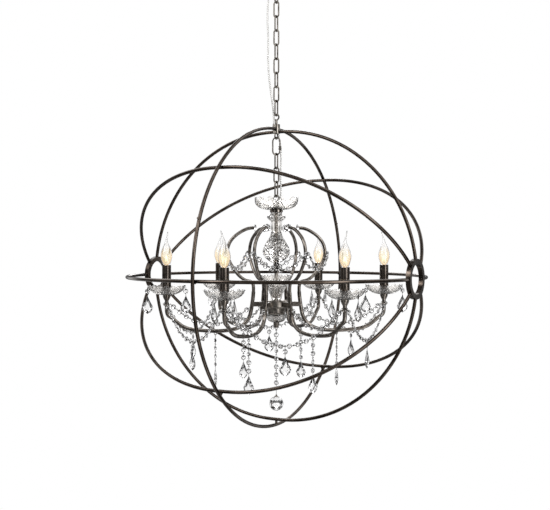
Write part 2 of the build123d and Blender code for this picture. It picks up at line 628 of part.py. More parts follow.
with BuildPart() as hub_plate:
    add(turned([(BORE_RADIUS, BOWL_BOTTOM_Z), (HUB_PLATE_RADIUS - 4, BOWL_BOTTOM_Z),
                (HUB_PLATE_RADIUS, BOWL_BOTTOM_Z - 4), (HUB_PLATE_RADIUS, HUB_PLATE_BOTTOM_Z + 4),
                (HUB_PLATE_RADIUS - 4, HUB_PLATE_BOTTOM_Z), (BORE_RADIUS, HUB_PLATE_BOTTOM_Z)]))
    lug_end = ARM_SHOULDER[0] - 2
    with Locations((0, 0, level((BOWL_BOTTOM_Z + HUB_PLATE_BOTTOM_Z) / 2))):
        with PolarLocations((HUB_PLATE_RADIUS - 2 + lug_end) / 2, ARM_COUNT, start_angle=ARM_START_ANGLE):
            Box(lug_end - HUB_PLATE_RADIUS + 2, HUB_LUG_WIDTH, (BOWL_BOTTOM_Z - HUB_PLATE_BOTTOM_Z) * 0.6)
    add(arms.part, mode=Mode.SUBTRACT)

with BuildPart() as hub_cup:
    add(turned([
        (HUB_CUP_RADIUS, HUB_PLATE_BOTTOM_Z), (HUB_CUP_RADIUS, -90), (22, -100), (14, HUB_CUP_BOTTOM_Z),
        (BORE_RADIUS, HUB_CUP_BOTTOM_Z), (BORE_RADIUS, HUB_CUP_BOTTOM_Z + 2), (13, HUB_CUP_BOTTOM_Z + 2),
        (20, -99), (HUB_CUP_RADIUS - 2, -90), (HUB_CUP_RADIUS - 2, HUB_PLATE_BOTTOM_Z),
    ]))

with BuildPart() as bottom_dish:
    add(turned([
        (BORE_RADIUS, HUB_CUP_BOTTOM_Z), (17, HUB_CUP_BOTTOM_Z), (BOTTOM_DISH_RADIUS - GLASS_WALL, -100),
        (BOTTOM_DISH_RADIUS - 1, -98), (BOTTOM_DISH_RADIUS, -101), (20, BOTTOM_DISH_BOTTOM_Z + 3),
        (9, BOTTOM_DISH_BOTTOM_Z), (BORE_RADIUS, BOTTOM_DISH_BOTTOM_Z),
    ]))

finial_eye_z = FINIAL_BOTTOM_Z - EYE_RADIUS + EYE_WIRE_RADIUS
with BuildPart() as finial:
    add(turned([
        (0, stem_bottom_z), (STEM_RADIUS, stem_bottom_z), (STEM_RADIUS, BOTTOM_DISH_BOTTOM_Z),
        (FINIAL_RADIUS, BOTTOM_DISH_BOTTOM_Z), (FINIAL_RADIUS, -128), (5.5, FINIAL_BOTTOM_Z + 2),
        (4.5, FINIAL_BOTTOM_Z), (0, FINIAL_BOTTOM_Z),
    ]))
    add(wire_eye((0, 0, level(finial_eye_z)), 0))

# Glass rosettes: one closes each scroll's top end, one sits on each scroll's side
with BuildPart() as rosette:
    with BuildSketch():
        RegularPolygon(radius=ROSETTE_RADIUS, side_count=8, rotation=22.5)
    extrude(amount=ROSETTE_HALF_THICKNESS, both=True, taper=25)

side_rosette_reach = SCROLL_SIDE[0] + SCROLL_RADIUS + ROSETTE_HALF_THICKNESS
with BuildPart() as scroll_rosettes:
    top_axis = (scroll_path.line % 0).normalized()
    top_place = Plane(origin=scroll_path.line @ 0 - top_axis * ROSETTE_HALF_THICKNESS, z_dir=top_axis)
    side_place = Plane(origin=(side_rosette_reach, 0, level(SCROLL_SIDE[1])),
                       x_dir=(0, 1, 0), z_dir=(1, 0, 0))
    with PolarLocations(0, ARM_COUNT, start_angle=ARM_START_ANGLE):
        add(top_place.location * rosette.part)
        add(side_place.location * rosette.part)
    add(scrolls.part, mode=Mode.SUBTRACT)


def at_candles(part):
    """Six copies of a part that is drawn on the column's axis, one on each arm's end."""
    with BuildPart() as copies:
        with PolarLocations(ARM_REACH, ARM_COUNT, start_angle=ARM_START_ANGLE):
            add(part)
    return copies.part


with BuildPart() as candle_cups:
    add(at_candles(turned([
        (HOLDER_STEM_RADIUS, ARM_TOP_Z), (6, ARM_TOP_Z), (8.5, -55), (CANDLE_CUP_RADIUS, -50),
        (CANDLE_CUP_RADIUS, CANDLE_CUP_TOP_Z), (HOLDER_STEM_RADIUS, CANDLE_CUP_TOP_Z),
    ])))

bobeche_floor_z = CANDLE_CUP_TOP_Z + BOBECHE_FLOOR
BOBECHE_SCALLOPS = 16
with BuildPart() as bobeches:
    add(at_candles(scalloped([
        (HOLDER_STEM_RADIUS, CANDLE_CUP_TOP_Z), (18, CANDLE_CUP_TOP_Z), (34, -41), (46, -32),
        (BOBECHE_RADIUS, BOBECHE_RIM_Z), (BOBECHE_RADIUS - 2.5, BOBECHE_RIM_Z), (43.8, -30.5), (33, -38.5),
        (18, bobeche_floor_z), (HOLDER_STEM_RADIUS, bobeche_floor_z),
    ], BOBECHE_RADIUS, BOBECHE_RIM_Z, BOBECHE_SCALLOPS, 4.0)))

with BuildPart() as candle_sleeves:
    add(at_candles(turned([
        (SLEEVE_RADIUS, bobeche_floor_z), (SLEEVE_RADIUS, SLEEVE_TOP_Z),
        (SLEEVE_RADIUS - SLEEVE_WALL, SLEEVE_TOP_Z), (SLEEVE_RADIUS - SLEEVE_WALL, bobeche_floor_z),
    ])))

holder_top_z = SLEEVE_TOP_Z - 1.0
holder_bore_z = holder_top_z - LAMP_THREAD_LENGTH - 1.5
with BuildPart() as lampholders:
    add(at_candles(turned([
        (0, ARM_TOP_Z), (HOLDER_STEM_RADIUS, ARM_TOP_Z), (HOLDER_STEM_RADIUS, bobeche_floor_z),
        (HOLDER_RADIUS, bobeche_floor_z), (HOLDER_RADIUS, holder_top_z),
        (LAMP_THREAD_RADIUS + LAMP_CLEARANCE, holder_top_z),
        (LAMP_THREAD_RADIUS + LAMP_CLEARANCE, holder_bore_z), (0, holder_bore_z),
    ])))

collar_bottom_z = COLLAR_RING_TOP_Z - COLLAR_RING_HEIGHT
with BuildPart() as arm_collars:
    add(at_candles(turned([
        (ARM_RADIUS, collar_bottom_z), (0.7 * COLLAR_RING_RADIUS, collar_bottom_z),
        (COLLAR_RING_RADIUS, collar_bottom_z + 3), (COLLAR_RING_RADIUS, COLLAR_RING_TOP_Z - 3),
        (0.7 * COLLAR_RING_RADIUS, COLLAR_RING_TOP_Z), (ARM_RADIUS, COLLAR_RING_TOP_Z),
    ])))

# Bulb: turned envelope and thread, with a bent tip lofted through shrinking circles
bulb_seat_z = holder_top_z + 0.2
BULB_TIP_RINGS = [(0.0, 94.0, 4.2), (1.2, 101.0, 2.9), (3.6, 108.0, 2.0), (6.6, 115.0, 1.4),
                  (8.2, BULB_TIP_Z, 0.8)]
with BuildPart() as bulb:
    add(turned([
        (0, bulb_seat_z - LAMP_THREAD_LENGTH), (LAMP_THREAD_RADIUS, bulb_seat_z - LAMP_THREAD_LENGTH + 3),
        (LAMP_THREAD_RADIUS, bulb_seat_z), (8.5, bulb_seat_z), (9.5, bulb_seat_z + 2), (14.0, 48.0),
        (BULB_RADIUS, 59.0), (14.6, 70.0), (10.6, 81.0), (6.6, 89.0), (4.2, 94.0), (0, 94.0),
    ]))
    for shift, height, ring_radius in BULB_TIP_RINGS:
        with BuildSketch(Plane(origin=(shift, 0, level(height)), z_dir=(0.04 * shift, 0, 1))):
            Circle(ring_radius)
    loft()

bulbs = []
for arm_angle, tip_angle in zip(ARM_ANGLES, BULB_TIP_ANGLES):
    centre = radial_point(ARM_REACH, arm_angle, 0)
    with BuildPart() as one_bulb:
        with Locations(Location((centre.X, centre.Y, 0), (0, 0, tip_angle))):
            add(bulb.part)
    bulbs.append(one_bulb)

# Swags and garlands
between_angle = ARM_PITCH_ANGLE
swag_side = ROSETTE_RADIUS * cos(pi / 8) + PIN_GAP
with BuildPart() as upper_swags:
    one_swag = swag(radial_point(side_rosette_reach, 0, SCROLL_SIDE[1] - 2, swag_side),
                    radial_point(side_rosette_reach, between_angle, SCROLL_SIDE[1] - 2, -swag_side),
                    UPPER_SWAG_SAG)
    with PolarLocations(0, ARM_COUNT, start_angle=ARM_START_ANGLE):
        add(one_swag)

collar_middle_z = COLLAR_RING_TOP_Z - COLLAR_RING_HEIGHT / 2
with BuildPart() as lower_swags:
    one_swag = swag(radial_point(ARM_REACH, 0, collar_middle_z, COLLAR_RING_RADIUS + PIN_GAP),
                    radial_point(ARM_REACH, between_angle, collar_middle_z, -COLLAR_RING_RADIUS - PIN_GAP),
                    LOWER_SWAG_SAG)
    with PolarLocations(0, ARM_COUNT, start_angle=ARM_START_ANGLE):
        add(one_swag)

with BuildPart() as arm_garlands:
    garland = swag(radial_point(ARM_SHOULDER[0] + ARM_RADIUS + 2 * PIN_GAP, 0, ARM_SHOULDER[1]),
                   radial_point(ARM_REACH - COLLAR_RING_RADIUS - PIN_GAP, 0, collar_middle_z), GARLAND_SAG)
    with PolarLocations(0, ARM_COUNT, start_angle=ARM_START_ANGLE):
        add(garland)


def beaded_drop(top, bead_count, lead, facing, with_pendant=True):
    """Straight bead string that hangs from its top point, with a pendant under the last bead."""
    points = [top]
    for index in range(bead_count):
        points.append(top - Vector(0, 0, lead + index * BEAD_PITCH))
    tail = points[-1] - Vector(0, 0, BEAD_RADIUS + 5)
    points.append(tail)
    with BuildPart() as drop:
        add(bead_string(points, range(1, bead_count + 1), normal=facing))
        if with_pendant:
            with Locations(Location(Plane(origin=tail + Vector(0, 0, 1), z_dir=(0, 0, 1),
                                          x_dir=facing.cross(Vector(0, 0, 1))))):
                add(pendant.part)
    return drop.part


OUTWARD = Vector(1, 0, 0)
SIDEWAYS = Vector(0, 1, 0)
with BuildPart() as bobeche_drops:
    for side in (-1, 1):
        hang_reach = ARM_REACH + side * (BOBECHE_RADIUS + PIN_RADIUS + PIN_GAP / 2)
        hang = Vector(hang_reach, 0, level(BOBECHE_RIM_Z - 5))
        one_drop = beaded_drop(hang, 1, BEAD_RADIUS + 4, SIDEWAYS)
        with PolarLocations(0, ARM_COUNT, start_angle=ARM_START_ANGLE):
            add(one_drop)

swag_low_z = collar_middle_z - LOWER_SWAG_SAG
half_turn = radians(between_angle / 2)
swag_low_reach = ARM_REACH * cos(half_turn) + COLLAR_RING_RADIUS * sin(half_turn)
with BuildPart() as short_drops:
    one_drop = beaded_drop(Vector(swag_low_reach, 0, level(swag_low_z)), 1, BEAD_RADIUS + 6, OUTWARD)
    with PolarLocations(0, ARM_COUNT, start_angle=ARM_START_ANGLE + between_angle / 2):
        add(one_drop)
    add(lower_swags.part, mode=Mode.SUBTRACT)
    add(bobeche_drops.part)

# Hanging pieces that swing: a wire eye through the eye above, then beads
def hung_string(eye_z, bead_count, first_bead_lead, facing, with_pendant):
    lower_eye_z = eye_z - 2 * EYE_RADIUS + 2 * EYE_WIRE_RADIUS + SEAT_GAP
    top = Vector(0, 0, level(lower_eye_z - EYE_RADIUS))
    with BuildPart() as hung:
        add(wire_eye((0, 0, level(lower_eye_z)), 90))
        add(beaded_drop(top, bead_count, first_bead_lead, facing, with_pendant))
    return hung.part


long_drops = []
for arm_angle in ARM_ANGLES:
    centre = radial_point(ARM_LOW[0], arm_angle, 0)
    with BuildPart() as one_drop:
        with Locations(Location((centre.X, centre.Y, 0), (0, 0, arm_angle))):
            add(hung_string(eye_centre_z, DROP_BEADS, BEAD_RADIUS + 3, OUTWARD, True))
    long_drops.append(one_drop)

with BuildPart() as ball_strand:
    add(hung_string(finial_eye_z, STRAND_BEADS, BEAD_RADIUS + 3, SIDEWAYS, False))

strand_bottom_z = ball_strand.part.bounding_box().min.Z - ORB_Z
BALL_LAYERS = [(2.0, 24.0), (7.0, 19.5), (14.5, 13.0), (19.5, 4.0), (19.5, -4.0), (14.5, -13.0), (6.0, -18.5)]
BALL_SIDES = 10
with BuildPart() as crystal_ball:
    for ring_radius, height in BALL_LAYERS:
        with BuildSketch(Plane.XY.offset(level(BALL_CENTRE_Z + height))):
            RegularPolygon(radius=ring_radius, side_count=BALL_SIDES)
    loft(ruled=True)
    top_z = BALL_CENTRE_Z + BALL_LAYERS[0][1]
    with BuildSketch(Plane.XY.offset(level(top_z))):
        Circle(PIN_RADIUS)
    extrude(amount=strand_bottom_z - top_z)

nodes = {
    "mounting_bar": mounting_bar, "canopy": canopy, "canopy_nipple": canopy_nipple, "nipple_nut": nipple_nut,
    "terminal_block": terminal_block, "canopy_loop": canopy_loop, "upper_chain_links": upper_chain_links,
    "flex_upper": flex_upper, "coupling_body": coupling_body, "coupling_loops": coupling_loops,
    "coupling_screw": coupling_screw, "cross_hoop": cross_hoop, "equator_hoop": equator_hoop,
    "side_hoop": side_hoop, "tilted_hoops": tilted_hoops, "hub_rings": hub_rings,
    "crossing_ties": crossing_ties,
    "cross_hoop_screws": cross_hoop_screws, "quick_link": quick_link, "quick_link_nut": quick_link_nut,
    "inner_chain_links": inner_chain_links, "flex_lower": flex_lower, "stem_loop": stem_loop,
    "stem_tube": stem_tube, "top_dish": top_dish, "column_washers": column_washers,
    "glass_neck": glass_neck, "baluster": baluster, "glass_foot": glass_foot, "cut_bowl": cut_bowl,
    "hub_plate": hub_plate, "hub_cup": hub_cup, "bottom_dish": bottom_dish, "finial": finial,
    "scrolls": scrolls, "arms": arms, "scroll_rosettes": scroll_rosettes, "candle_cups": candle_cups,
    "bobeches": bobeches, "candle_sleeves": candle_sleeves, "lampholders": lampholders,
    "arm_collars": arm_collars, "upper_swags": upper_swags, "lower_swags": lower_swags,
    "arm_garlands": arm_garlands, "short_drops": short_drops,
    "ball_strand": ball_strand, "crystal_ball": crystal_ball,
}
for number, one_bulb in enumerate(bulbs, start=1):
    nodes[f"bulb_{number}"] = one_bulb
for number, one_drop in enumerate(long_drops, start=1):
    nodes[f"long_drop_{number}"] = one_drop

for label, node in nodes.items():
    node.part.label = label
    export_step(node.part, f"parts/{label}.step")
    box = node.part.bounding_box()
    print(label, "solids", len(node.part.solids()), "valid", node.part.is_valid,
          "z", round(box.min.Z, 2), round(box.max.Z, 2))
print("nodes", len(nodes), "orb centre", ORB_Z)
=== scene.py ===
# %% [markdown]
# # Orb chandelier
# A chandelier with six electric candles hangs inside a globe of steel hoops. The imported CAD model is
# the fixed frame: hoops, chains, arms, cups and sleeves are its own solids, and get their finish here.
# Glass, crystals, bulbs, the canopy's shell and the two flexes are made again with more detail.
# They could be sculpted by hand, but numbers repeat a shape exactly, so every piece is a surface
# worked out from the same sizes as the CAD model.

import json
import math

import bpy
import numpy as np
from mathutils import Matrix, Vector


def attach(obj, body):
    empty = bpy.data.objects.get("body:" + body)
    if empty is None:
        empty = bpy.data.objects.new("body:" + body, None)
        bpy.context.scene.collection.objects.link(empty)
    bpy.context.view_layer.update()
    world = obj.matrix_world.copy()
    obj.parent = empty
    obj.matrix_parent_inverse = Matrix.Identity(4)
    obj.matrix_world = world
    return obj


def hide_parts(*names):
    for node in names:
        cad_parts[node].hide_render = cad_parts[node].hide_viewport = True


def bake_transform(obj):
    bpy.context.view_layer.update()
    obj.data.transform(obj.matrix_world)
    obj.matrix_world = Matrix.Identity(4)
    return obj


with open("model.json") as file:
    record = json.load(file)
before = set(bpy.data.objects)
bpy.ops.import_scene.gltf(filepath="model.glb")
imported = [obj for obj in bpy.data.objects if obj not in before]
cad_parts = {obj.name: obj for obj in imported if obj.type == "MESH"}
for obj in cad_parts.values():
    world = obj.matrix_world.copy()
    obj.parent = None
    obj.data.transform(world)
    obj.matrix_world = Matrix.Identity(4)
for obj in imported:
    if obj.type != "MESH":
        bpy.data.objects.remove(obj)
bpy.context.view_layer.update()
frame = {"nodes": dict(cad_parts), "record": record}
scene = bpy.context.scene
scene.view_settings.view_transform = "Standard"

# %% [markdown]
# Sizes on a lamp are thought of in millimetres, and Blender works in metres. The ceiling is z = 0.
# Heights are given from the orb's centre, as in the CAD source, and `place` turns a distance from the
# column, an angle and a height into a point. It takes single numbers and whole arrays alike.

# %% Units and the shared places
MM = 0.001
ORB_Z = -836.0
ARM_STEP = 60.0               # degrees from one arm to the next
ARM_ANGLES = 34.0 + ARM_STEP * np.arange(6)
ARM_REACH = 295.0


def place(distance, angle, height, sideways=0.0):
    """Point at a distance and sideways from the column, turned by the angle, at a height from the
    orb's centre."""
    turn = np.radians(angle)
    x = distance * np.cos(turn) - sideways * np.sin(turn)
    y = distance * np.sin(turn) + sideways * np.cos(turn)
    z = ORB_Z + height + 0.0 * x
    return np.stack(np.broadcast_arrays(x, y, z), -1) * MM


orb_centre = Vector(place(0.0, 0.0, 0.0))
print("orb centre at", tuple(round(value, 3) for value in orb_centre))

# %% [markdown]
# The photograph looks at the orb almost level, from a quarter turn short of the hub axis. A long lens
# from two and a half metres gives its mild perspective. The camera could be turned up to put the orb
# low in the frame, but then upright lines would lean, so the lens is shifted instead.

# %% Camera
CAMERA_AZIMUTH = 29.3         # degrees, to the right of the view along +Y
CAMERA_ELEVATION = 2.1
CAMERA_DISTANCE = 2.55
LENS = 61.7
SHIFT = (-0.0024, 0.0409)

azimuth = math.radians(CAMERA_AZIMUTH)
elevation = math.radians(CAMERA_ELEVATION)
towards_camera = Vector((math.sin(azimuth) * math.cos(elevation),
                         -math.cos(azimuth) * math.cos(elevation), math.sin(elevation)))
camera_data = bpy.data.cameras.new("camera")
camera_data.lens = LENS
camera_data.shift_x, camera_data.shift_y = SHIFT
camera = bpy.data.objects.new("camera", camera_data)
camera.location = orb_centre + CAMERA_DISTANCE * towards_camera
camera.rotation_euler = towards_camera.to_track_quat("Z", "Y").to_euler()
scene.collection.objects.link(camera)
scene.camera = camera
print("camera at", tuple(round(value, 3) for value in camera.location))

# %% [markdown]
# ## Helpers for surfaces
# A surface here is a pair: an array of points, and a list of arrays of faces. Keeping it as plain
# numbers until the end makes it cheap to copy, turn and join before Blender sees it.

# %% Surfaces made into pieces


def joined(surfaces):
    """Several surfaces as one: points one after another, faces renumbered by the points before them."""
    starts = np.cumsum([0] + [len(points) for points, _ in surfaces[:-1]])
    points = np.concatenate([points for points, _ in surfaces])
    faces = [part + start for (_, parts), start in zip(surfaces, starts) for part in parts]
    return points, faces


def add_piece(name, surface, body, finish, stands_for=(), smooth=False):
    """Object from a surface in metres. It rides on a body and stands for CAD nodes."""
    points, faces = surface
    corners = np.concatenate([part.ravel() for part in faces]).astype(np.int32)
    sizes = np.concatenate([np.full(len(part), part.shape[1]) for part in faces])
    mesh = bpy.data.meshes.new(name)
    mesh.vertices.add(len(points))
    mesh.vertices.foreach_set("co", points.astype(np.float32).ravel())
    mesh.loops.add(len(corners))
    mesh.loops.foreach_set("vertex_index", corners)
    mesh.polygons.add(len(sizes))
    mesh.polygons.foreach_set("loop_start", (np.cumsum(sizes) - sizes).astype(np.int32))
    mesh.polygons.foreach_set("use_smooth", np.full(len(sizes), smooth))
    mesh.update(calc_edges=True)
    mesh.validate()
    mesh.materials.append(finish)
    piece = bpy.data.objects.new(name, mesh)
    scene.collection.objects.link(piece)
    if body:
        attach(piece, body)
    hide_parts(*stands_for)
    print(name, len(sizes), "faces")
    return piece


# %% [markdown]
# Three kinds of shape cover nearly everything on a glass lamp: a profile turned about an upright axis,
# a round tube along a path, and a cut stone, which is a stack of outlines with flat facets between.

# %% A grid of points becomes faces


def grid_faces(rows, columns, wrap_rows=False):
    """Four-sided faces between neighbours of a grid whose columns close on themselves."""
    row = np.arange(rows if wrap_rows else rows - 1)[:, None]
    column = np.arange(columns)[None, :]
    next_row = (row + 1) % rows
    next_column = (column + 1) % columns
    corners = (row * columns + column, row * columns + next_column,
               next_row * columns + next_column, next_row * columns + column)
    return np.stack(np.broadcast_arrays(*corners), -1).reshape(-1, 4)


def end_caps(rows, columns):
    """One flat face over the first row and one over the last, both looking outwards."""
    first = np.arange(columns)[None, ::-1]
    last = (rows - 1) * columns + np.arange(columns)[None, :]
    return [first, last]


def resampled(corners, count):
    """Count points at equal steps of length along the open line through the corners."""
    corners = np.asarray(corners, float)
    along = np.concatenate([[0], np.cumsum(np.linalg.norm(np.diff(corners, axis=0), axis=1))])
    steps = np.linspace(0, along[-1], count)
    return np.stack([np.interp(steps, along, values) for values in corners.T], -1)


def softened(corners, rounds=2):
    """Open line with its corners cut: each run keeps only its middle half, and both ends stay."""
    line = np.asarray(corners, float)
    for _ in range(rounds):
        near = 0.75 * line[:-1] + 0.25 * line[1:]
        far = 0.25 * line[:-1] + 0.75 * line[1:]
        middle = np.stack([near, far], 1).reshape(-1, line.shape[1])
        line = np.concatenate([line[:1], middle[1:-1], line[-1:]])
    return line


print("a grid of 3 rows and 4 columns has", len(grid_faces(3, 4)), "faces")


# %% Tubes along a path


def tube(path, radius, sides, across, closed=False):
    """Point (i, j) is path point i plus the radius times a unit vector square to the path, turned by
    j of the sides. The across vector, never along the path, says where the first side points."""
    path = np.asarray(path, float)
    if closed:
        along = np.roll(path, -1, 0) - np.roll(path, 1, 0)
    else:
        along = np.gradient(path, axis=0)
    along /= np.linalg.norm(along, axis=1, keepdims=True)
    first = np.cross(along, across)
    first /= np.linalg.norm(first, axis=1, keepdims=True)
    second = np.cross(along, first)
    turn = 2 * np.pi * np.arange(sides) / sides
    ring = first[:, None] * np.cos(turn)[:, None] + second[:, None] * np.sin(turn)[:, None]
    points = (path[:, None] + radius * ring).reshape(-1, 3)
    caps = [] if closed else end_caps(len(path), sides)
    return points, [grid_faces(len(path), sides, wrap_rows=closed)] + caps


short_tube = tube([(0, 0, 0), (0, 0, 1)], 0.1, 8, (1, 0, 0))
print("an eight-sided tube of two rings has", len(short_tube[0]), "points")


# %% Profiles turned about an upright axis


def turned(line, columns, shift=0.0, closed=True):
    """Point (i, j) is radius i of the profile at j of the columns round, at height i, and the row's
    centre is moved along X by its shift. A profile in millimetres goes up outside and down inside."""
    line = np.asarray(line, float)
    turn = 2 * np.pi * np.arange(columns)[None, :] / columns
    x = line[:, :1] * np.cos(turn) + np.reshape(shift, (-1, 1))
    y = line[:, :1] * np.sin(turn)
    z = line[:, 1:] + 0.0 * turn
    caps = [] if closed else end_caps(len(line), columns)
    points = np.stack([x, y, z], -1).reshape(-1, 3) * MM
    return points, [grid_faces(len(line), columns, wrap_rows=closed)] + caps


def moved(surface, by):
    """The surface moved by a vector in metres."""
    points, faces = surface
    return points + by, faces


print("a washer of 16 columns has", len(turned([(1, 0), (2, 0), (2, 1), (1, 1)], 16)[0]), "points")


# %% Cut stones


def stacked(rings, half_turned):
    """Outlines on top of each other. Where one is turned by half a side against the last, the band
    between them is triangles, and otherwise four-sided panels. The ends are flat tables."""
    layers, sides, _ = rings.shape
    here = np.arange(sides)
    following = (here + 1) % sides
    faces = []
    for layer in range(layers - 1):
        low, low_next = layer * sides + here, layer * sides + following
        high, high_next = low + sides, low_next + sides
        if half_turned[layer] == half_turned[layer + 1]:
            faces.append(np.stack([low, low_next, high_next, high], -1))
        elif half_turned[layer + 1]:
            faces += [np.stack([low, low_next, high], -1), np.stack([low_next, high_next, high], -1)]
        else:
            faces += [np.stack([low, low_next, high_next], -1), np.stack([low, high_next, high], -1)]
    return rings.reshape(-1, 3), faces + end_caps(layers, sides)


def cut_stone(layers, sides):
    """Round stone from (radius, height, half turned) layers; corner j stands at j sides of a turn."""
    radius, height, half_turned = np.array(layers, float).T
    turn = 2 * np.pi * (np.arange(sides)[None, :] + 0.5 * half_turned[:, None]) / sides
    rings = np.stack([radius[:, None] * np.cos(turn), radius[:, None] * np.sin(turn),
                      height[:, None] + 0.0 * turn], -1)
    return stacked(rings * MM, half_turned.astype(bool))


def copies(surface, origins, x_axes, z_axes):
    """A surface at many places: origin + x times one axis + y times the third + z times the other."""
    points, faces = surface
    x_axes = x_axes / np.linalg.norm(x_axes, axis=1, keepdims=True)
    z_axes = z_axes - (z_axes * x_axes).sum(1, keepdims=True) * x_axes
    z_axes = z_axes / np.linalg.norm(z_axes, axis=1, keepdims=True)
    y_axes = np.cross(z_axes, x_axes)
    axes = np.stack([x_axes, y_axes, z_axes], 1)
    placed = origins[:, None] + np.einsum("pk,nkc->npc", points, axes)
    starts = len(points) * np.arange(len(origins))
    renumbered = [(part[None] + starts[:, None, None]).reshape(-1, part.shape[1]) for part in faces]
    return placed.reshape(-1, 3), renumbered


def turned_about_column(surface, angle):
    """The surface turned about the column by an angle in degrees."""
    points, faces = surface
    turn = math.radians(angle)
    spin = np.array([[math.cos(turn), math.sin(turn), 0], [-math.sin(turn), math.cos(turn), 0], [0, 0, 1]])
    return points @ spin, faces


print("a six-sided stone of two layers has", len(cut_stone([(1, 0, False), (2, 1, True)], 6)[0]), "points")


# %% [markdown]
# ## Finishes
# All the colour comes from noise read at Object coordinates, in metres on the real thing, so that a
# grain stays as small on a hoop as on a chain link. The hoops of the real lamp are steel, blackened
# and rubbed back, the sleeves and arms are darker and smoother, and the chain is old nickel.

# %% Material helpers


def new_finish(name):
    """Empty material with its node tree and its Principled shader."""
    material = bpy.data.materials.new(name)
    material.use_nodes = True
    return material, material.node_tree, material.node_tree.nodes["Principled BSDF"]


def grain(tree, scale, detail=4.0, stretch=(1, 1, 1)):
    """Noise on Object coordinates; scale is in grains per metre, and stretch draws it out."""
    coordinates = tree.nodes.new("ShaderNodeTexCoord")
    mapping = tree.nodes.new("ShaderNodeMapping")
    mapping.inputs["Scale"].default_value = stretch
    texture = tree.nodes.new("ShaderNodeTexNoise")
    texture.inputs["Scale"].default_value = scale
    texture.inputs["Detail"].default_value = detail
    tree.links.new(coordinates.outputs["Object"], mapping.inputs["Vector"])
    tree.links.new(mapping.outputs["Vector"], texture.inputs["Vector"])
    return texture.outputs["Fac"]


def ramp(tree, factor, stops):
    """Colour ramp from (place, colour) stops in rising order; a bare number is a grey."""
    node = tree.nodes.new("ShaderNodeValToRGB")
    elements = node.color_ramp.elements
    elements.remove(elements[1])
    for index, (position, colour) in enumerate(stops):
        element = elements[0] if index == 0 else elements.new(position)
        element.position = position
        rgb = colour if isinstance(colour, tuple) else (colour, colour, colour)
        element.color = (*rgb, 1.0)
    tree.links.new(factor, node.inputs["Fac"])
    return node.outputs["Color"]


def bump(tree, shader, height, strength, distance):
    """Bump from a height, its distance in metres."""
    node = tree.nodes.new("ShaderNodeBump")
    node.inputs["Strength"].default_value = strength
    node.inputs["Distance"].default_value = distance
    tree.links.new(height, node.inputs["Height"])
    tree.links.new(node.outputs["Normal"], shader.inputs["Normal"])


def metal(name, dark, light, patch_scale, roughness, relief):
    """Metal whose colour wanders from dark to light in patches, with a fine uneven skin."""
    material, tree, shader = new_finish(name)
    shader.inputs["Metallic"].default_value = 1.0
    patches = grain(tree, patch_scale)
    tree.links.new(ramp(tree, patches, [(0.35, dark), (0.65, light)]), shader.inputs["Base Color"])
    scuffs = grain(tree, 6 * patch_scale, detail=6.0)
    tree.links.new(ramp(tree, scuffs, [(0.3, roughness[0]), (0.7, roughness[1])]), shader.inputs["Roughness"])
    bump(tree, shader, grain(tree, 900.0), relief, 0.0002)
    return material


# %% Metals
rubbed_steel = metal("rubbed_steel", (0.026, 0.020, 0.016), (0.072, 0.058, 0.048), 22.0, (0.14, 0.24), 0.15)
sleeve_metal = metal("sleeve_metal", (0.058, 0.048, 0.041), (0.095, 0.081, 0.070), 60.0, (0.16, 0.24), 0.10)
pewter = metal("pewter", (0.085, 0.074, 0.064), (0.185, 0.166, 0.148), 70.0, (0.10, 0.18), 0.08)
aged_nickel = metal("aged_nickel", (0.060, 0.053, 0.046), (0.19, 0.174, 0.154), 90.0, (0.14, 0.26), 0.15)
zinc_steel = metal("zinc_steel", (0.42, 0.42, 0.41), (0.60, 0.60, 0.58), 120.0, (0.30, 0.50), 0.20)
satin_pewter = metal("satin_pewter", (0.13, 0.115, 0.100), (0.25, 0.228, 0.205), 60.0, (0.24, 0.34), 0.10)
stem_metal = metal("stem_metal", (0.30, 0.275, 0.245), (0.42, 0.39, 0.355), 90.0, (0.30, 0.40), 0.05)
print("materials with the metals", len(bpy.data.materials))

# %% [markdown]
# Black plastic is the terminal block, and the flexes are clear plastic over silvery cores. Seen close,
# the two cores turn round each other, so their stripes read the flex's own UV map and climb round it.

# %% Plastics
black_plastic, plastic_tree, plastic_shader = new_finish("black_plastic")
plastic_tone = ramp(plastic_tree, grain(plastic_tree, 300.0), [(0.3, 0.012), (0.7, 0.028)])
plastic_tree.links.new(plastic_tone, plastic_shader.inputs["Base Color"])
plastic_shader.inputs["Roughness"].default_value = 0.45
bump(plastic_tree, plastic_shader, grain(plastic_tree, 1500.0), 0.2, 0.0001)

clear_flex, flex_tree, flex_shader = new_finish("clear_flex")
flex_uv = flex_tree.nodes.new("ShaderNodeUVMap")
flex_wave = flex_tree.nodes.new("ShaderNodeTexWave")
flex_wave.wave_type = "BANDS"
flex_wave.bands_direction = "DIAGONAL"
# At scale one the wave runs ten radians a unit, and a whole number of stripes closes round the flex.
STRIPES_ROUND = 2
flex_wave.inputs["Scale"].default_value = STRIPES_ROUND * 2 * math.pi / 10
flex_tree.links.new(flex_uv.outputs["UV"], flex_wave.inputs["Vector"])
flex_stripes = ramp(flex_tree, flex_wave.outputs["Fac"],
                    [(0.2, (0.30, 0.29, 0.28)), (0.6, (0.74, 0.73, 0.71))])
flex_tree.links.new(flex_stripes, flex_shader.inputs["Base Color"])
flex_shader.inputs["Metallic"].default_value = 0.35
flex_shader.inputs["Roughness"].default_value = 0.3
flex_shader.inputs["Coat Weight"].default_value = 0.8
flex_shader.inputs["Coat Roughness"].default_value = 0.08
print("materials with the plastics", len(bpy.data.materials))

# %% [markdown]
# Crystal is clear glass that bends light strongly. Its sparkle comes from flat facets, so it needs no
# pattern, only a trace of colour. The dishes and the column are pressed glass: a little softer, and
# faintly wavy, which a weak bump on a wide noise gives.

# %% Glass


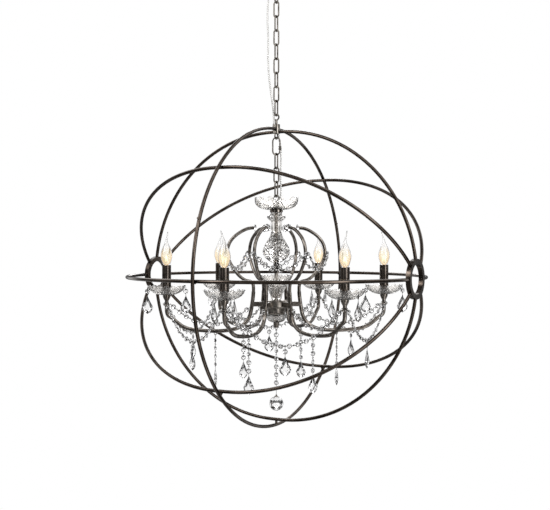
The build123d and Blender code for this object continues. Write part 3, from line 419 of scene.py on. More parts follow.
def glass(name, tint_a, tint_b, index, roughness, wave):
    """Clear glass with a faint drift of tint and waves of a given strength."""
    material, tree, shader = new_finish(name)
    shader.inputs["Transmission Weight"].default_value = 1.0
    shader.inputs["IOR"].default_value = index
    shader.inputs["Roughness"].default_value = roughness
    tree.links.new(ramp(tree, grain(tree, 25.0), [(0.3, tint_a), (0.7, tint_b)]), shader.inputs["Base Color"])
    if wave:
        bump(tree, shader, grain(tree, 160.0, detail=1.0), wave, 0.0006)
    return material


crystal = glass("crystal", (0.90, 0.895, 0.90), (0.97, 0.967, 0.965), 1.64, 0.0, 0.0)
pressed_glass = glass("pressed_glass", (0.935, 0.915, 0.890), (0.985, 0.972, 0.955), 1.52, 0.01, 0.30)
bulb_glass = glass("bulb_glass", (0.95, 0.945, 0.94), (0.985, 0.98, 0.975), 1.50, 0.0, 0.0)
print("materials with the glass", len(bpy.data.materials))

# %% [markdown]
# A lit bulb is a bright wire in clear glass, and the eye and the lens spread its light into a warm
# haze that fills the lower half. A spread like that could come from a compositor, but then it would
# be missing from the model, so the haze is a faint inner body: bright where it is seen square on, and
# fading to nothing at its edge and its top.

# %% Light in the bulbs
GLOW_FULL_BELOW = 54.0        # heights from the orb's centre between which the haze fades
GLOW_GONE_ABOVE = 84.0
glow, glow_tree, glow_shader = new_finish("bulb_glow")
glow_tree.nodes.remove(glow_shader)
glow_light = glow_tree.nodes.new("ShaderNodeEmission")
glow_clear = glow_tree.nodes.new("ShaderNodeBsdfTransparent")
glow_mix = glow_tree.nodes.new("ShaderNodeMixShader")
glow_edge = glow_tree.nodes.new("ShaderNodeLayerWeight")
glow_edge.inputs["Blend"].default_value = 0.5
glow_body = ramp(glow_tree, glow_edge.outputs["Facing"], [(0.0, 0.50), (0.5, 0.55), (0.8, 0.35), (1.0, 0.0)])
glow_colour = ramp(glow_tree, glow_edge.outputs["Facing"],
                   [(0.0, (1.0, 0.90, 0.66)), (0.35, (1.0, 0.80, 0.46)), (0.8, (1.0, 0.60, 0.26))])
glow_place = glow_tree.nodes.new("ShaderNodeTexCoord")
glow_axes = glow_tree.nodes.new("ShaderNodeSeparateXYZ")
glow_height = glow_tree.nodes.new("ShaderNodeMapRange")
glow_height.inputs["From Min"].default_value = (ORB_Z + GLOW_FULL_BELOW) * MM
glow_height.inputs["From Max"].default_value = (ORB_Z + GLOW_GONE_ABOVE) * MM
glow_height.inputs["To Min"].default_value = 1.0
glow_height.inputs["To Max"].default_value = 0.0
glow_tree.links.new(glow_place.outputs["Object"], glow_axes.inputs["Vector"])
glow_tree.links.new(glow_axes.outputs["Z"], glow_height.inputs["Value"])
glow_product = glow_tree.nodes.new("ShaderNodeMath")
glow_product.operation = "MULTIPLY"
glow_tree.links.new(glow_body, glow_product.inputs[0])
glow_tree.links.new(glow_height.outputs["Result"], glow_product.inputs[1])
glow_strength = glow_product.outputs["Value"]
glow_light.inputs["Strength"].default_value = 1.1
glow_tree.links.new(glow_colour, glow_light.inputs["Color"])
glow_tree.links.new(glow_strength, glow_mix.inputs["Fac"])
glow_tree.links.new(glow_clear.outputs["BSDF"], glow_mix.inputs[1])
glow_tree.links.new(glow_light.outputs["Emission"], glow_mix.inputs[2])
glow_tree.links.new(glow_mix.outputs["Shader"], glow_tree.nodes["Material Output"].inputs["Surface"])

filament, filament_tree, filament_shader = new_finish("filament")
filament_heat = ramp(filament_tree, grain(filament_tree, 800.0),
                     [(0.3, (1.0, 0.55, 0.16)), (0.7, (1.0, 0.80, 0.42))])
filament_tree.links.new(filament_heat, filament_shader.inputs["Base Color"])
filament_tree.links.new(filament_heat, filament_shader.inputs["Emission Color"])
filament_shader.inputs["Emission Strength"].default_value = 6.0
print("materials with the lights", len(bpy.data.materials))

# %% [markdown]
# The frame's nodes keep their meshes and only change material. The record says which slot each node
# has, and one finish stands for each slot. Three nodes have a finish of their own, because the real
# ones are paler and duller than the pewter round them: the tube inside the glass neck, and the plate
# and cup at the hub.

# %% Finishes on the frame
finish_of_slot = {
    "rubbed_steel": rubbed_steel, "aged_nickel": aged_nickel, "pewter": pewter, "sleeve_metal": sleeve_metal,
    "zinc_steel": zinc_steel, "black_plastic": black_plastic, "clear_flex": clear_flex,
    "crystal": pressed_glass, "bulb_glass": bulb_glass,
}
finish_of_node = {"stem_tube": stem_metal, "hub_plate": satin_pewter, "hub_cup": satin_pewter}
for subpart in frame["record"]["subparts"]:
    node_mesh = frame["nodes"][subpart["node"]].data
    finish = finish_of_node.get(subpart["node"], finish_of_slot[subpart["material_slot"]])
    node_mesh.materials.clear()
    node_mesh.materials.append(finish)

# %% [markdown]
# ## The two flexes
# One flex runs from the ceiling beside the long chain and into the top of the coupling. The other
# leaves the coupling below and ends in the cap over the top dish. Each hangs in its own slack curve,
# a smooth spline with the CAD route as its control points. On the real lamp the upper one bends at
# the canopy when the chain swings. Both are tubes along points read back from the spline.

# %% Flex routes
FLEX_RADIUS = 2.15
FLEX_SIDES = 12
TWIST_PITCH = 12.0            # length in which the two cores go once round each other
FLEX_UPPER_ROUTE = [
    (-4.67, -4.67, 407.5), (-4.67, -4.67, 432), (-8.5, -8.5, 476), (-16, -11, 530), (-18.5, -13.5, 585),
    (-18, -12, 640), (-20, -14, 695), (-16.5, -14.5, 745), (-14.14, -14.14, 790), (-14.14, -14.14, 824),
]
FLEX_LOWER_ROUTE = [
    (4.67, 4.67, 391.5), (4.67, 4.67, 376), (8, 10, 356), (9.5, 9.5, 330), (9, 8, 300),
    (8, 7.5, 270), (9.8, 8.5, 242), (9, 8, 222), (6.2, 6.2, 206), (6.2, 6.2, 190.5),
]


def spline_points(name, route):
    """Points of the smooth NURBS line that has the route, in millimetres, as its control points."""
    curve = bpy.data.curves.new(name, "CURVE")
    curve.dimensions = "3D"
    spline = curve.splines.new("NURBS")
    spline.points.add(len(route) - 1)
    for control, (x, y, height) in zip(spline.points, route):
        control.co = (x * MM, y * MM, (ORB_Z + height) * MM, 1.0)
    spline.order_u = 3
    spline.use_endpoint_u = True
    holder = bpy.data.objects.new(name, curve)
    scene.collection.objects.link(holder)
    line = bpy.data.meshes.new_from_object(holder)
    points = np.array([vertex.co for vertex in line.vertices])
    bpy.data.objects.remove(holder)
    return points


def add_flex(name, route, length, body, stands_for):
    """Flex along its spline. Its UV is turns round the flex, and twist pitches along it."""
    path = spline_points(name + "_route", route)
    piece = add_piece(name, tube(path, FLEX_RADIUS * MM, FLEX_SIDES, (1, 0, 0)), body, clear_flex,
                      stands_for, smooth=True)
    along = np.concatenate([[0], np.cumsum(np.linalg.norm(np.diff(path, axis=0), axis=1))])
    row, column = np.divmod(np.arange((len(path) - 1) * FLEX_SIDES), FLEX_SIDES)
    u = np.stack([column, column + 1, column + 1, column], -1) / FLEX_SIDES
    v = along[np.stack([row, row, row + 1, row + 1], -1)] / (TWIST_PITCH * MM)
    uv = np.zeros((len(piece.data.loops), 2))
    uv[:u.size] = np.stack([u.ravel(), v.ravel()], -1)
    piece.data.uv_layers.new(name="UVMap").uv.foreach_set("vector", uv.astype(np.float32).ravel())
    print(name, "spline length", round(float(along[-1]), 4), "of", length)
    return piece


# %% Flexes
flex_upper = add_flex("flex_upper_cord", FLEX_UPPER_ROUTE, 0.4176, None, ["flex_upper"])
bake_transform(flex_upper)
add_flex("flex_lower_cord", FLEX_LOWER_ROUTE, 0.2021, "inner_chain", ["flex_lower"])

# %% [markdown]
# ## Canopy
# The canopy is spun from sheet metal, so its shell is one smooth curve with a thin wall, and it ends
# in a rolled foot against the ceiling. A lathe does the same as turning a profile does here. A small
# black grommet lines the hole that the flex goes through.

# %% Canopy
CANOPY_OUTSIDE = [(5, -30), (18.75, -30), (41.25, -26.1), (57.5, -16.5), (62, -6), (62.5, -2), (62.5, 0)]
CANOPY_INSIDE = [(61.2, 0), (61.2, -2), (60.8, -6), (56.4, -15.7), (40.7, -25), (18.6, -28.8), (5, -28.8)]
canopy_line = np.concatenate([softened(CANOPY_OUTSIDE), softened(CANOPY_INSIDE)])
ceiling = place(0.0, 0.0, -ORB_Z)
add_piece("canopy_shell", moved(turned(canopy_line, 96), ceiling), "ceiling_set", pewter,
          ["canopy"], smooth=True)

GROMMET_RADIUS = 2.9
GROMMET_LIP_RADIUS = 0.8
GROMMET_DEPTH = 29.2          # below the ceiling
FLEX_HOLE = -14.14            # the hole's place on both axes
grommet_turn = 2 * np.pi * np.arange(32)[:, None] / 32
grommet_round = np.concatenate([np.cos(grommet_turn), np.sin(grommet_turn), 0 * grommet_turn], 1)
grommet = tube(GROMMET_RADIUS * grommet_round * MM, GROMMET_LIP_RADIUS * MM, 8, (0, 0, 1), closed=True)
grommet_place = place(FLEX_HOLE, 0.0, -ORB_Z - GROMMET_DEPTH, sideways=FLEX_HOLE)
add_piece("canopy_grommet", moved(grommet, grommet_place), "ceiling_set", black_plastic,
          smooth=True)

# %% [markdown]
# ## Cut and pressed glass
# Every dish on the column is a wall of glass between an outer and an inner profile. Its makers grind
# diamonds into the outside and scallop the rim. Both are one formula here: the radius and the height
# of each grid point gain a little, by where it is. Ground glass is flat from edge to edge, so these
# faces stay unsmoothed, and each square is halved along its low corners, which leaves a raised point.

# %% Cut glass


def cut_glass(outer, inner, rows, columns, teeth=1, tooth_depth=0.0, flute=0.0, facet=0.0):
    """Wall between two profiles in millimetres, the outer going up and the inner coming down. The
    radius gains facet on every second point both ways, outside only, and flute times the cosine of
    teeth times the angle, by the cube of the height. The height loses tooth_depth in the same way."""
    line = np.concatenate([resampled(softened(outer), rows), resampled(softened(inner), rows)])
    turn = 2 * np.pi * np.arange(columns) / columns
    rise = ((line[:, 1] - line[:, 1].min()) / np.ptp(line[:, 1]))[:, None] ** 3
    wave = np.cos(teeth * turn)[None, :]
    row, column = np.indices((2 * rows, columns))
    raised = (row + column) % 2 == 0
    cut = np.concatenate([np.sin(np.linspace(0, np.pi, rows)), np.zeros(rows)])[:, None]
    radius = line[:, :1] + flute * rise * wave + facet * cut * np.where(raised, 1, -1)
    height = line[:, 1:] - tooth_depth * rise * (0.5 + 0.5 * wave)
    points = np.stack([radius * np.cos(turn), radius * np.sin(turn), height], -1).reshape(-1, 3) * MM
    squares = grid_faces(2 * rows, columns, wrap_rows=True)
    even, odd = squares[raised.ravel()], squares[~raised.ravel()]
    triangles = [even[:, [0, 1, 3]], even[:, [1, 2, 3]], odd[:, [0, 1, 2]], odd[:, [0, 2, 3]]]
    return points, triangles


# %% Column glass
column_foot = place(0.0, 0.0, 0.0)
top_dish = cut_glass(
    [(5.4, 182), (20, 182), (42, 186), (55, 195), (59, 206), (59, 217)],
    [(56, 217), (56, 207), (52, 197), (40, 189), (20, 186), (5.4, 186)],
    rows=18, columns=96, teeth=12, tooth_depth=4.6, flute=-1.2, facet=0.5)
add_piece("top_dish_cut", moved(top_dish, column_foot), "chandelier", pressed_glass, ["top_dish"])

NECK_OUTSIDE = [(11, 120), (15, 120), (15, 151), (16, 153), (25, 160), (25, 166), (15.5, 170), (15, 175)]
NECK_BORE = [(11, 175), (11, 120.5)]
neck_line = np.concatenate([resampled(softened(NECK_OUTSIDE), 40), resampled(NECK_BORE, 20)])
add_piece("neck_glass", moved(turned(neck_line, 48), column_foot), "chandelier", pressed_glass,
          ["glass_neck"], smooth=True)

baluster = cut_glass(
    [(6.3, 40), (10, 40), (16, 43), (27, 50), (35, 60), (37, 73), (31, 88), (22, 102), (16, 112), (15, 120)],
    [(6.3, 120), (6.3, 40.5)],
    rows=20, columns=32, facet=1.3)
add_piece("baluster_cut", moved(baluster, column_foot), "chandelier", pressed_glass, ["baluster"])

foot_line = softened([(5.4, 20), (20, 20), (20, 22), (12, 27), (8, 33), (8, 40), (5.4, 40)])
add_piece("foot_glass", moved(turned(foot_line, 48), column_foot), "chandelier", pressed_glass,
          ["glass_foot"], smooth=True)

bowl = cut_glass(
    [(5.4, -61), (13.5, -61), (15, -50), (24, -30), (36, -8), (42, 8)],
    [(39, 8), (33, -8), (21, -30), (12, -50), (9, -54), (5.4, -54)],
    rows=22, columns=72, teeth=12, tooth_depth=3.2, flute=-0.8, facet=0.6)
add_piece("bowl_cut", moved(bowl, column_foot), "chandelier", pressed_glass, ["cut_bowl"])

bottom_dish = cut_glass(
    [(5.4, -122), (9, -122), (20, -119), (29, -106), (31, -101), (30, -98)],
    [(28, -100), (17, -112), (5.4, -112)],
    rows=12, columns=48, facet=0.4)
add_piece("bottom_dish_cut", moved(bottom_dish, column_foot), "chandelier", pressed_glass,
          ["bottom_dish"])

# %% [markdown]
# The six drip pans are shallow glass saucers with a toothed rim, pressed in one mould. One surface is
# worked out on the column's axis and moved to each candle.

# %% Drip pans
pan = cut_glass(
    [(4.1, -46), (18, -46), (34, -41), (46, -32), (50.5, -20)],
    [(48, -20), (43.8, -30.5), (33, -38.5), (18, -43.5), (4.1, -43.5)],
    rows=12, columns=96, teeth=16, tooth_depth=3.0, flute=-1.4, facet=0.35)
pans = joined([moved(pan, spot) for spot in place(ARM_REACH, ARM_ANGLES, 0.0)])
add_piece("drip_pans", pans, "chandelier", pressed_glass, ["bobeches"])

# %% [markdown]
# ## Stones
# Beads are eight-sided buttons with a flat table on both sides and a belt of triangles round it. That
# is few faces for a shape that is there hundreds of times, and each face still catches the light on
# its own. Pendants are drawn from an outline: rings of it, drawn in towards a point below the middle
# and stepped towards the table.

# %% Bead, rosette, pendant and ball
BEAD_RADIUS = 7.0
BEAD_PITCH = 21.7
PIN_RADIUS = 0.6
bead = cut_stone([(3.4, -2.6, True), (BEAD_RADIUS, -0.5, False),
                  (BEAD_RADIUS, 0.5, False), (3.4, 2.6, True)], 8)
rosette = cut_stone([(3.5, -3.0, False), (7.5, -2.2, True), (10.0, -0.6, False), (10.0, 0.6, False),
                     (7.5, 2.2, True), (3.5, 3.0, False)], 10)
ball = cut_stone([(4.0, -19.0, False), (10.8, -16.2, True), (16.2, -10.8, False), (19.1, -3.9, True),
                  (19.1, 3.9, False), (16.2, 10.8, True), (10.8, 16.2, False), (4.0, 19.0, True)], 12)
spacer = cut_stone([(1.2, -2.4, False), (2.6, -1.0, True), (2.6, 1.0, False), (1.2, 2.4, True)], 6)

PENDANT_HALF = [(4.5, -11), (9.0, -20), (13.0, -27), (15.0, -33), (12.5, -40), (8.0, -45)]
left = np.array([(-x, y) for x, y in PENDANT_HALF])
right = np.array(PENDANT_HALF)[::-1]
pendant_outline = np.concatenate([[(0, 0)], left, [(0, -50)], right])


def pendant_ring(size, depth, half_turned):
    """The outline shrunk about a point on its axis, at a depth; half turned takes its edges' middles."""
    outline = pendant_outline
    if half_turned:
        outline = (outline + np.roll(outline, -1, 0)) / 2
    waist = np.array((0, -31.0))
    flat = waist + size * (outline - waist)
    return np.concatenate([flat, np.full((len(flat), 1), depth)], 1) * MM


PENDANT_RINGS = [(0.42, -4.0, False), (0.76, -2.6, True), (1.0, -0.5, False),
                 (1.0, 0.5, False), (0.76, 2.6, True), (0.42, 4.0, False)]
pendant = stacked(np.stack([pendant_ring(*ring) for ring in PENDANT_RINGS]),
                  [half_turned for _, _, half_turned in PENDANT_RINGS])
print("bead", len(bead[0]), "points, pendant", len(pendant[0]), "points")

# %% [markdown]
# A bead string hangs in a curve that is close to a parabola. Its beads sit at equal steps of length,
# a wire pin runs from each to the next, and each is rolled a little about the string, from a seeded
# random number, because nobody hangs them all alike.

# %% Strings
dice = np.random.default_rng(7)
UP = np.array((0.0, 0.0, 1.0))


def swag_line(start, end, sag):
    """Ends and bead places on start + (end - start) t, lowered by 4 sag t (1 - t), the sag in
    millimetres."""
    t = np.linspace(0, 1, 401)[:, None]
    curve = start + (end - start) * t - 4 * sag * MM * t * (1 - t) * UP
    along = np.concatenate([[0], np.cumsum(np.linalg.norm(np.diff(curve, axis=0), axis=1))])
    count = round(along[-1] / (BEAD_PITCH * MM))
    steps = (np.arange(count) + 0.5) * along[-1] / count
    beads = np.stack([np.interp(steps, along, values) for values in curve.T], -1)
    return np.concatenate([start[None], beads, end[None]])


def beads_on(line, across):
    """A bead on every inner point of a line, its tables looking across it, rolled up to 25 degrees."""
    along = line[2:] - line[:-2]
    along /= np.linalg.norm(along, axis=1, keepdims=True)
    roll = np.radians(dice.uniform(-25, 25, len(along)))[:, None]
    tables = np.cos(roll) * across + np.sin(roll) * np.cross(along, across)
    return copies(bead, line[1:-1], along, tables)


def spacers_on(line, across):
    """A small faceted bead on the middle of each run of wire, its hole along the wire."""
    middles = (line[1:] + line[:-1]) / 2
    runs = np.diff(line, axis=0)
    return copies(spacer, middles, np.broadcast_to(across, runs.shape), runs)


def swags(start_places, end_places, sag):
    """Stones and wires of one swag from each start to the end beside it."""
    stones, wires = [], []
    for start, end in zip(start_places, end_places):
        across = np.cross(end - start, UP)
        across /= np.linalg.norm(across)
        line = swag_line(start, end, sag)
        stones += [beads_on(line, across), spacers_on(line, across)]
        wires.append(tube(line, PIN_RADIUS * MM, 6, across))
    return joined(stones), joined(wires)


def hanging_drop(top, lead, count, facing, with_pendant=True):
    """Stones and wire of a straight string: count beads below a lead, and a pendant under the last."""
    depths = np.concatenate([[0], lead + BEAD_PITCH * np.arange(count)])
    depths = np.append(depths, depths[-1] + BEAD_RADIUS + 5)
    line = top - depths[:, None] * MM * UP
    stones = [beads_on(line, facing), spacers_on(line[1:-1], facing)]
    if with_pendant:
        hook = line[-1:] + MM * UP
        stones.append(copies(pendant, hook, np.cross(UP, facing)[None], facing[None]))
    return joined(stones), tube(line, PIN_RADIUS * MM, 6, facing)


def outward(angle):
    """Unit vector away from the column at an angle in degrees."""
    return np.array((math.cos(math.radians(angle)), math.sin(math.radians(angle)), 0.0))


def sideways(angle):
    """Unit vector square to outward, to the left."""
    return np.array((-math.sin(math.radians(angle)), math.cos(math.radians(angle)), 0.0))


print("a level swag of 300 mm has", len(swag_line(0 * UP, np.array((0.3, 0, 0)), 40.0)) - 2, "beads")


# %% Swags and garlands
SCROLL_REACH = 139.5          # where the side rosettes sit on the scrolls
SWAG_HEIGHT = 60.0
SWAG_SIDE = 9.49              # half a side rosette's width, and a gap
UPPER_SAG = 37.0
upper_stones, upper_wires = swags(place(SCROLL_REACH, ARM_ANGLES, SWAG_HEIGHT, SWAG_SIDE),
                                  place(SCROLL_REACH, ARM_ANGLES + ARM_STEP, SWAG_HEIGHT, -SWAG_SIDE),
                                  UPPER_SAG)
add_piece("upper_swag_stones", upper_stones, "chandelier", crystal, ["upper_swags"])
add_piece("upper_swag_wires", upper_wires, "chandelier", aged_nickel)

COLLAR_HEIGHT = -70.5
COLLAR_SIDE = 10.25
LOWER_SAG = 88.0
lower_stones, lower_wires = swags(place(ARM_REACH, ARM_ANGLES, COLLAR_HEIGHT, COLLAR_SIDE),
                                  place(ARM_REACH, ARM_ANGLES + ARM_STEP, COLLAR_HEIGHT, -COLLAR_SIDE),
                                  LOWER_SAG)
add_piece("lower_swag_stones", lower_stones, "chandelier", crystal, ["lower_swags"])
add_piece("lower_swag_wires", lower_wires, "chandelier", aged_nickel)

GARLAND_START_REACH = 72.7
GARLAND_START_HEIGHT = -80.0
GARLAND_END_REACH = 284.75
GARLAND_SAG = 50.0
garland_stones, garland_wires = swags(place(GARLAND_START_REACH, ARM_ANGLES, GARLAND_START_HEIGHT),
                                      place(GARLAND_END_REACH, ARM_ANGLES, COLLAR_HEIGHT), GARLAND_SAG)
add_piece("garland_stones", garland_stones, "chandelier", crystal, ["arm_garlands"])
add_piece("garland_wires", garland_wires, "chandelier", aged_nickel)

# %% [markdown]
# Each drip pan carries two short drops on its rim, and one more hangs from the lowest point of each
# lower swag. They could be copies that share one mesh, but the beads are rolled a little differently
# on each, so they are worked out one by one and joined into one piece.

# %% Short drops under the drip pans and the swags
PAN_RIM_RADIUS = 51.225       # where the drops hang from the rim
PAN_RIM_HEIGHT = -25.0
PAN_LEAD = 11.0
SWAG_FOOT_REACH = 260.48
SWAG_LEAD = 13.0
short_drops = []
for angle in ARM_ANGLES:
    for side in (-1, 1):
        rim = place(ARM_REACH + side * PAN_RIM_RADIUS, angle, PAN_RIM_HEIGHT)
        short_drops.append(hanging_drop(rim, PAN_LEAD, 1, sideways(angle)))
    between = angle + ARM_STEP / 2
    swag_foot = place(SWAG_FOOT_REACH, between, COLLAR_HEIGHT - LOWER_SAG)
    short_drops.append(hanging_drop(swag_foot, SWAG_LEAD, 1, outward(between)))
short_stones = joined([stones for stones, _ in short_drops])
short_wires = joined([wire for _, wire in short_drops])
add_piece("short_drop_stones", short_stones, "chandelier", crystal, ["short_drops"])
add_piece("short_drop_wires", short_wires, "chandelier", aged_nickel)

# %% [markdown]
# A flat cut rosette covers the upper end of each scroll, and a second one sits further down, where
# the swags start. The stone is worked out once and copied to all twelve places.

# %% Rosettes on the scrolls
TOP_ROSETTE_REACH = 57.0
TOP_ROSETTE_HEIGHT = 133.85
SIDE_ROSETTE_HEIGHT = 62.0
rosette_tilt = 0.05           # the scroll's top end rises this much per unit outwards
outwards = np.array([outward(angle) for angle in ARM_ANGLES])
upright = np.tile(UP, (len(ARM_ANGLES), 1))
top_rosettes = copies(rosette, place(TOP_ROSETTE_REACH, ARM_ANGLES, TOP_ROSETTE_HEIGHT), upright,
                      outwards + rosette_tilt * UP)
side_rosettes = copies(rosette, place(SCROLL_REACH, ARM_ANGLES, SIDE_ROSETTE_HEIGHT), upright, outwards)
add_piece("rosette_stones", joined([top_rosettes, side_rosettes]), "chandelier", crystal,
          ["scroll_rosettes"])

# %% [markdown]
# Six long drops hang from eyes under the arms, and a string of seven beads under the column carries
# the ball. Each swings on its own, so each is its own pieces on its own body, down to the wire eye
# that hangs in the eye above.

# %% Long drops and the ball's string
EYE_RADIUS = 3.0
EYE_WIRE_RADIUS = 0.8
DROP_REACH = 165.0
DROP_EYE_HEIGHT = -155.7
STRAND_EYE_HEIGHT = -142.5
STRAND_LEAD = 10.0


def wire_eye(centre, plane_along):
    """Small upright ring of wire whose plane holds the vertical and the given direction."""
    turn = 2 * np.pi * np.arange(24)[:, None] / 24
    path = centre + EYE_RADIUS * MM * (np.cos(turn) * UP + np.sin(turn) * plane_along)
    return tube(path, EYE_WIRE_RADIUS * MM, 8, np.cross(UP, plane_along), closed=True)


for number, angle in enumerate(ARM_ANGLES, start=1):
    eye_foot = place(DROP_REACH, angle, DROP_EYE_HEIGHT - EYE_RADIUS)
    stones, wire = hanging_drop(eye_foot, STRAND_LEAD, 4, outward(angle))
    eye = wire_eye(place(DROP_REACH, angle, DROP_EYE_HEIGHT), sideways(angle))
    body = f"drop_body_{number}"
    add_piece(f"long_drop_stones_{number}", stones, body, crystal, [f"long_drop_{number}"])
    add_piece(f"long_drop_wire_{number}", joined([wire, eye]), body, aged_nickel)

strand_top = place(0.0, 0.0, STRAND_EYE_HEIGHT - EYE_RADIUS)
strand_stones, strand_wire = hanging_drop(strand_top, STRAND_LEAD, 7, sideways(0.0), with_pendant=False)
strand_eye = wire_eye(place(0.0, 0.0, STRAND_EYE_HEIGHT), sideways(0.0))
add_piece("ball_strand_stones", strand_stones, "ball_strand_body", crystal, ["ball_strand"])
BALL_Z = -342.5
ball_place = place(0.0, 0.0, BALL_Z)
BALL_CAP_LINE = [(0.4, 18.0), (5.0, 18.4), (5.0, 20.0), (2.2, 21.4), (2.0, 24.0), (0.4, 24.2)]
ball_cap = turned(BALL_CAP_LINE, 24, closed=False)
BALL_PIN_HEIGHTS = np.array((BALL_Z + 23.0, BALL_Z + 34.0, -297.7))
ball_pin = tube(place(0.0, 0.0, BALL_PIN_HEIGHTS), PIN_RADIUS * MM, 6, (1, 0, 0))
add_piece("ball_strand_wire", joined([strand_wire, strand_eye]), "ball_strand_body", aged_nickel)
add_piece("ball_stone", moved(ball, ball_place), "ball_strand_body", crystal, ["crystal_ball"])
add_piece("ball_cap", joined([moved(ball_cap, ball_place), ball_pin]), "ball_strand_body", aged_nickel,
          smooth=True)

# %% [markdown]
# ## Bulbs
# The bulbs are flame-shaped, with a tail of glass drawn out and bent over while it was hot. The glass
# is half a millimetre thick, so its wall is a closed profile that goes up outside and down inside,
# and the bend is a shift of each row's centre. Each bulb turns in its holder, so each has its body.

# %% Bulb parts
BULB_OUTSIDE = [(8.3, 33.4), (9.5, 36), (13.0, 46), (15.8, 57), (15.2, 67), (11.4, 79), (7.0, 88), (4.2, 94),
                (2.9, 101), (2.0, 108), (1.4, 115), (0.8, 123)]
BULB_INSIDE = [(0.3, 122.6), (0.8, 115), (1.3, 108), (2.2, 101), (3.5, 94), (6.3, 88), (10.7, 79), (14.5, 67),
               (15.1, 57), (12.3, 46), (8.9, 36.4), (7.7, 33.4)]
BEND_HEIGHTS = (94, 101, 108, 115, 123)
BEND_SHIFTS = (0, 1.2, 3.6, 6.6, 8.2)
TIP_ANGLES = (170, 250, 40, 100, 200, 330)

envelope_line = np.concatenate([softened(BULB_OUTSIDE), softened(BULB_INSIDE)])
envelope = turned(envelope_line, 40, np.interp(envelope_line[:, 1], BEND_HEIGHTS, BEND_SHIFTS))
stem = turned([(0.5, 33.6), (6.0, 33.6), (3.4, 39.0), (2.0, 46.0), (0.5, 47.0)], 24, closed=False)
HAZE_LINE = [(0.5, 35.5), (7, 36.2), (11.6, 45), (14.4, 56), (14.0, 65), (10.6, 76), (6.3, 86), (0.5, 92)]
haze = turned(softened(HAZE_LINE), 32, closed=False)
FILAMENT_RADIUS = 0.45
filament_path = np.array([(-3.0, 0, 44), (-5.0, 0, 58), (-3.2, 0, 50), (-1.6, 0, 60), (0, 0, 50),
                          (1.6, 0, 60), (3.2, 0, 50), (5.0, 0, 58), (3.0, 0, 44)], float)
filament_wire = tube(filament_path * MM, FILAMENT_RADIUS * MM, 6, (0, 1, 0))
CAP_RADIUS = 6.5
THREAD_DEPTH = 0.3
THREAD_PITCH = 3.6


def screw_thread(columns=36, rows=60):
    """Lamp cap: the cap's radius plus the thread's depth times the cosine of turns of thread minus
    the angle."""
    turn = 2 * np.pi * np.arange(columns)[None, :] / columns
    height = np.linspace(13.4, 33.2, rows)[:, None]
    radius = CAP_RADIUS + THREAD_DEPTH * np.cos(2 * np.pi * height / THREAD_PITCH - turn)
    points = np.stack([radius * np.cos(turn), radius * np.sin(turn), height + 0.0 * turn], -1).reshape(-1, 3)
    return points * MM, [grid_faces(rows, columns)] + end_caps(rows, columns)


thread = screw_thread()
print("envelope", len(envelope[0]), "points, thread", len(thread[0]), "points")

# %% Bulbs in their holders
for number, (arm_angle, tip_angle) in enumerate(zip(ARM_ANGLES, TIP_ANGLES), start=1):
    spot = place(ARM_REACH, arm_angle, 0.0)
    body = f"bulb_body_{number}"
    glass_wall = moved(turned_about_column(joined([envelope, stem]), tip_angle), spot)
    add_piece(f"bulb_glass_{number}", glass_wall, body, bulb_glass, [f"bulb_{number}"],
              smooth=True)
    add_piece(f"bulb_haze_{number}", moved(haze, spot), body, glow, smooth=True)
    wire = moved(turned_about_column(filament_wire, tip_angle), spot)
    add_piece(f"bulb_filament_{number}", wire, body, filament, smooth=True)
    add_piece(f"bulb_cap_{number}", moved(thread, spot), body, zinc_steel, smooth=True)

# %% [markdown]
# ## Studio
# The lamp hangs against plain white. Glass and polished metal have no look of their own and only show
# what is round them, and in an even white room both all but vanish. A photographer puts dark card
# beside the lights for that. The world does the same here: the camera sees white, reflections see
# upright strips of light with dark between them, and light through glass sees white near the level
# of the eye, darker above and below, so facets that bend it far turn dark.

# %% World
REFLECTED_LIGHT = 4.0         # how much brighter than paper white the strips of light are
world = bpy.data.worlds.new("studio")
scene.world = world
world.use_nodes = True
sky = world.node_tree
direction = sky.nodes.new("ShaderNodeTexCoord")
around = sky.nodes.new("ShaderNodeTexGradient")
around.gradient_type = "RADIAL"
sky.links.new(direction.outputs["Generated"], around.inputs["Vector"])
split = sky.nodes.new("ShaderNodeSeparateXYZ")
sky.links.new(direction.outputs["Generated"], split.inputs["Vector"])
rise = sky.nodes.new("ShaderNodeMapRange")
rise.inputs["From Min"].default_value = -1.0
sky.links.new(split.outputs["Z"], rise.inputs["Value"])


def sky_mix(factor, first, second, blend="MIX"):
    """Colour mix in the world's tree; first and second are sockets."""
    node = sky.nodes.new("ShaderNodeMix")
    node.data_type = "RGBA"
    node.blend_type = blend
    if factor is None:
        node.inputs["Factor"].default_value = 1.0
    else:
        sky.links.new(factor, node.inputs["Factor"])
    sky.links.new(first, node.inputs[6])
    sky.links.new(second, node.inputs[7])
    return node.outputs[2]


def sky_grey(level):
    """A plain grey in the world's tree."""
    node = sky.nodes.new("ShaderNodeRGB")
    node.outputs[0].default_value = (level, level, level, 1.0)
    return node.outputs[0]


# Stops are places round the horizon from 0 to 1, or up the sky, and the light there.
strips = ramp(sky, around.outputs["Fac"], [
    (0.00, 0.01), (0.04, 0.02), (0.06, 0.30), (0.08, 0.02), (0.22, 0.02), (0.245, 0.40), (0.27, 0.02),
    (0.37, 0.01), (0.415, 1.0), (0.445, 1.0), (0.48, 0.03), (0.62, 0.02), (0.655, 0.50), (0.69, 0.02),
    (0.90, 0.02), (0.93, 0.35), (1.00, 0.01)])
overhead = ramp(sky, rise.outputs["Result"], [
    (0.0, 0.06), (0.35, 0.02), (0.5, 0.03), (0.70, 0.02), (0.76, 0.70), (0.82, 0.70), (0.88, 0.08),
    (1.0, 0.06)])
reflected = sky_mix(None, sky_mix(None, strips, overhead, "SCREEN"), sky_grey(REFLECTED_LIGHT), "MULTIPLY")

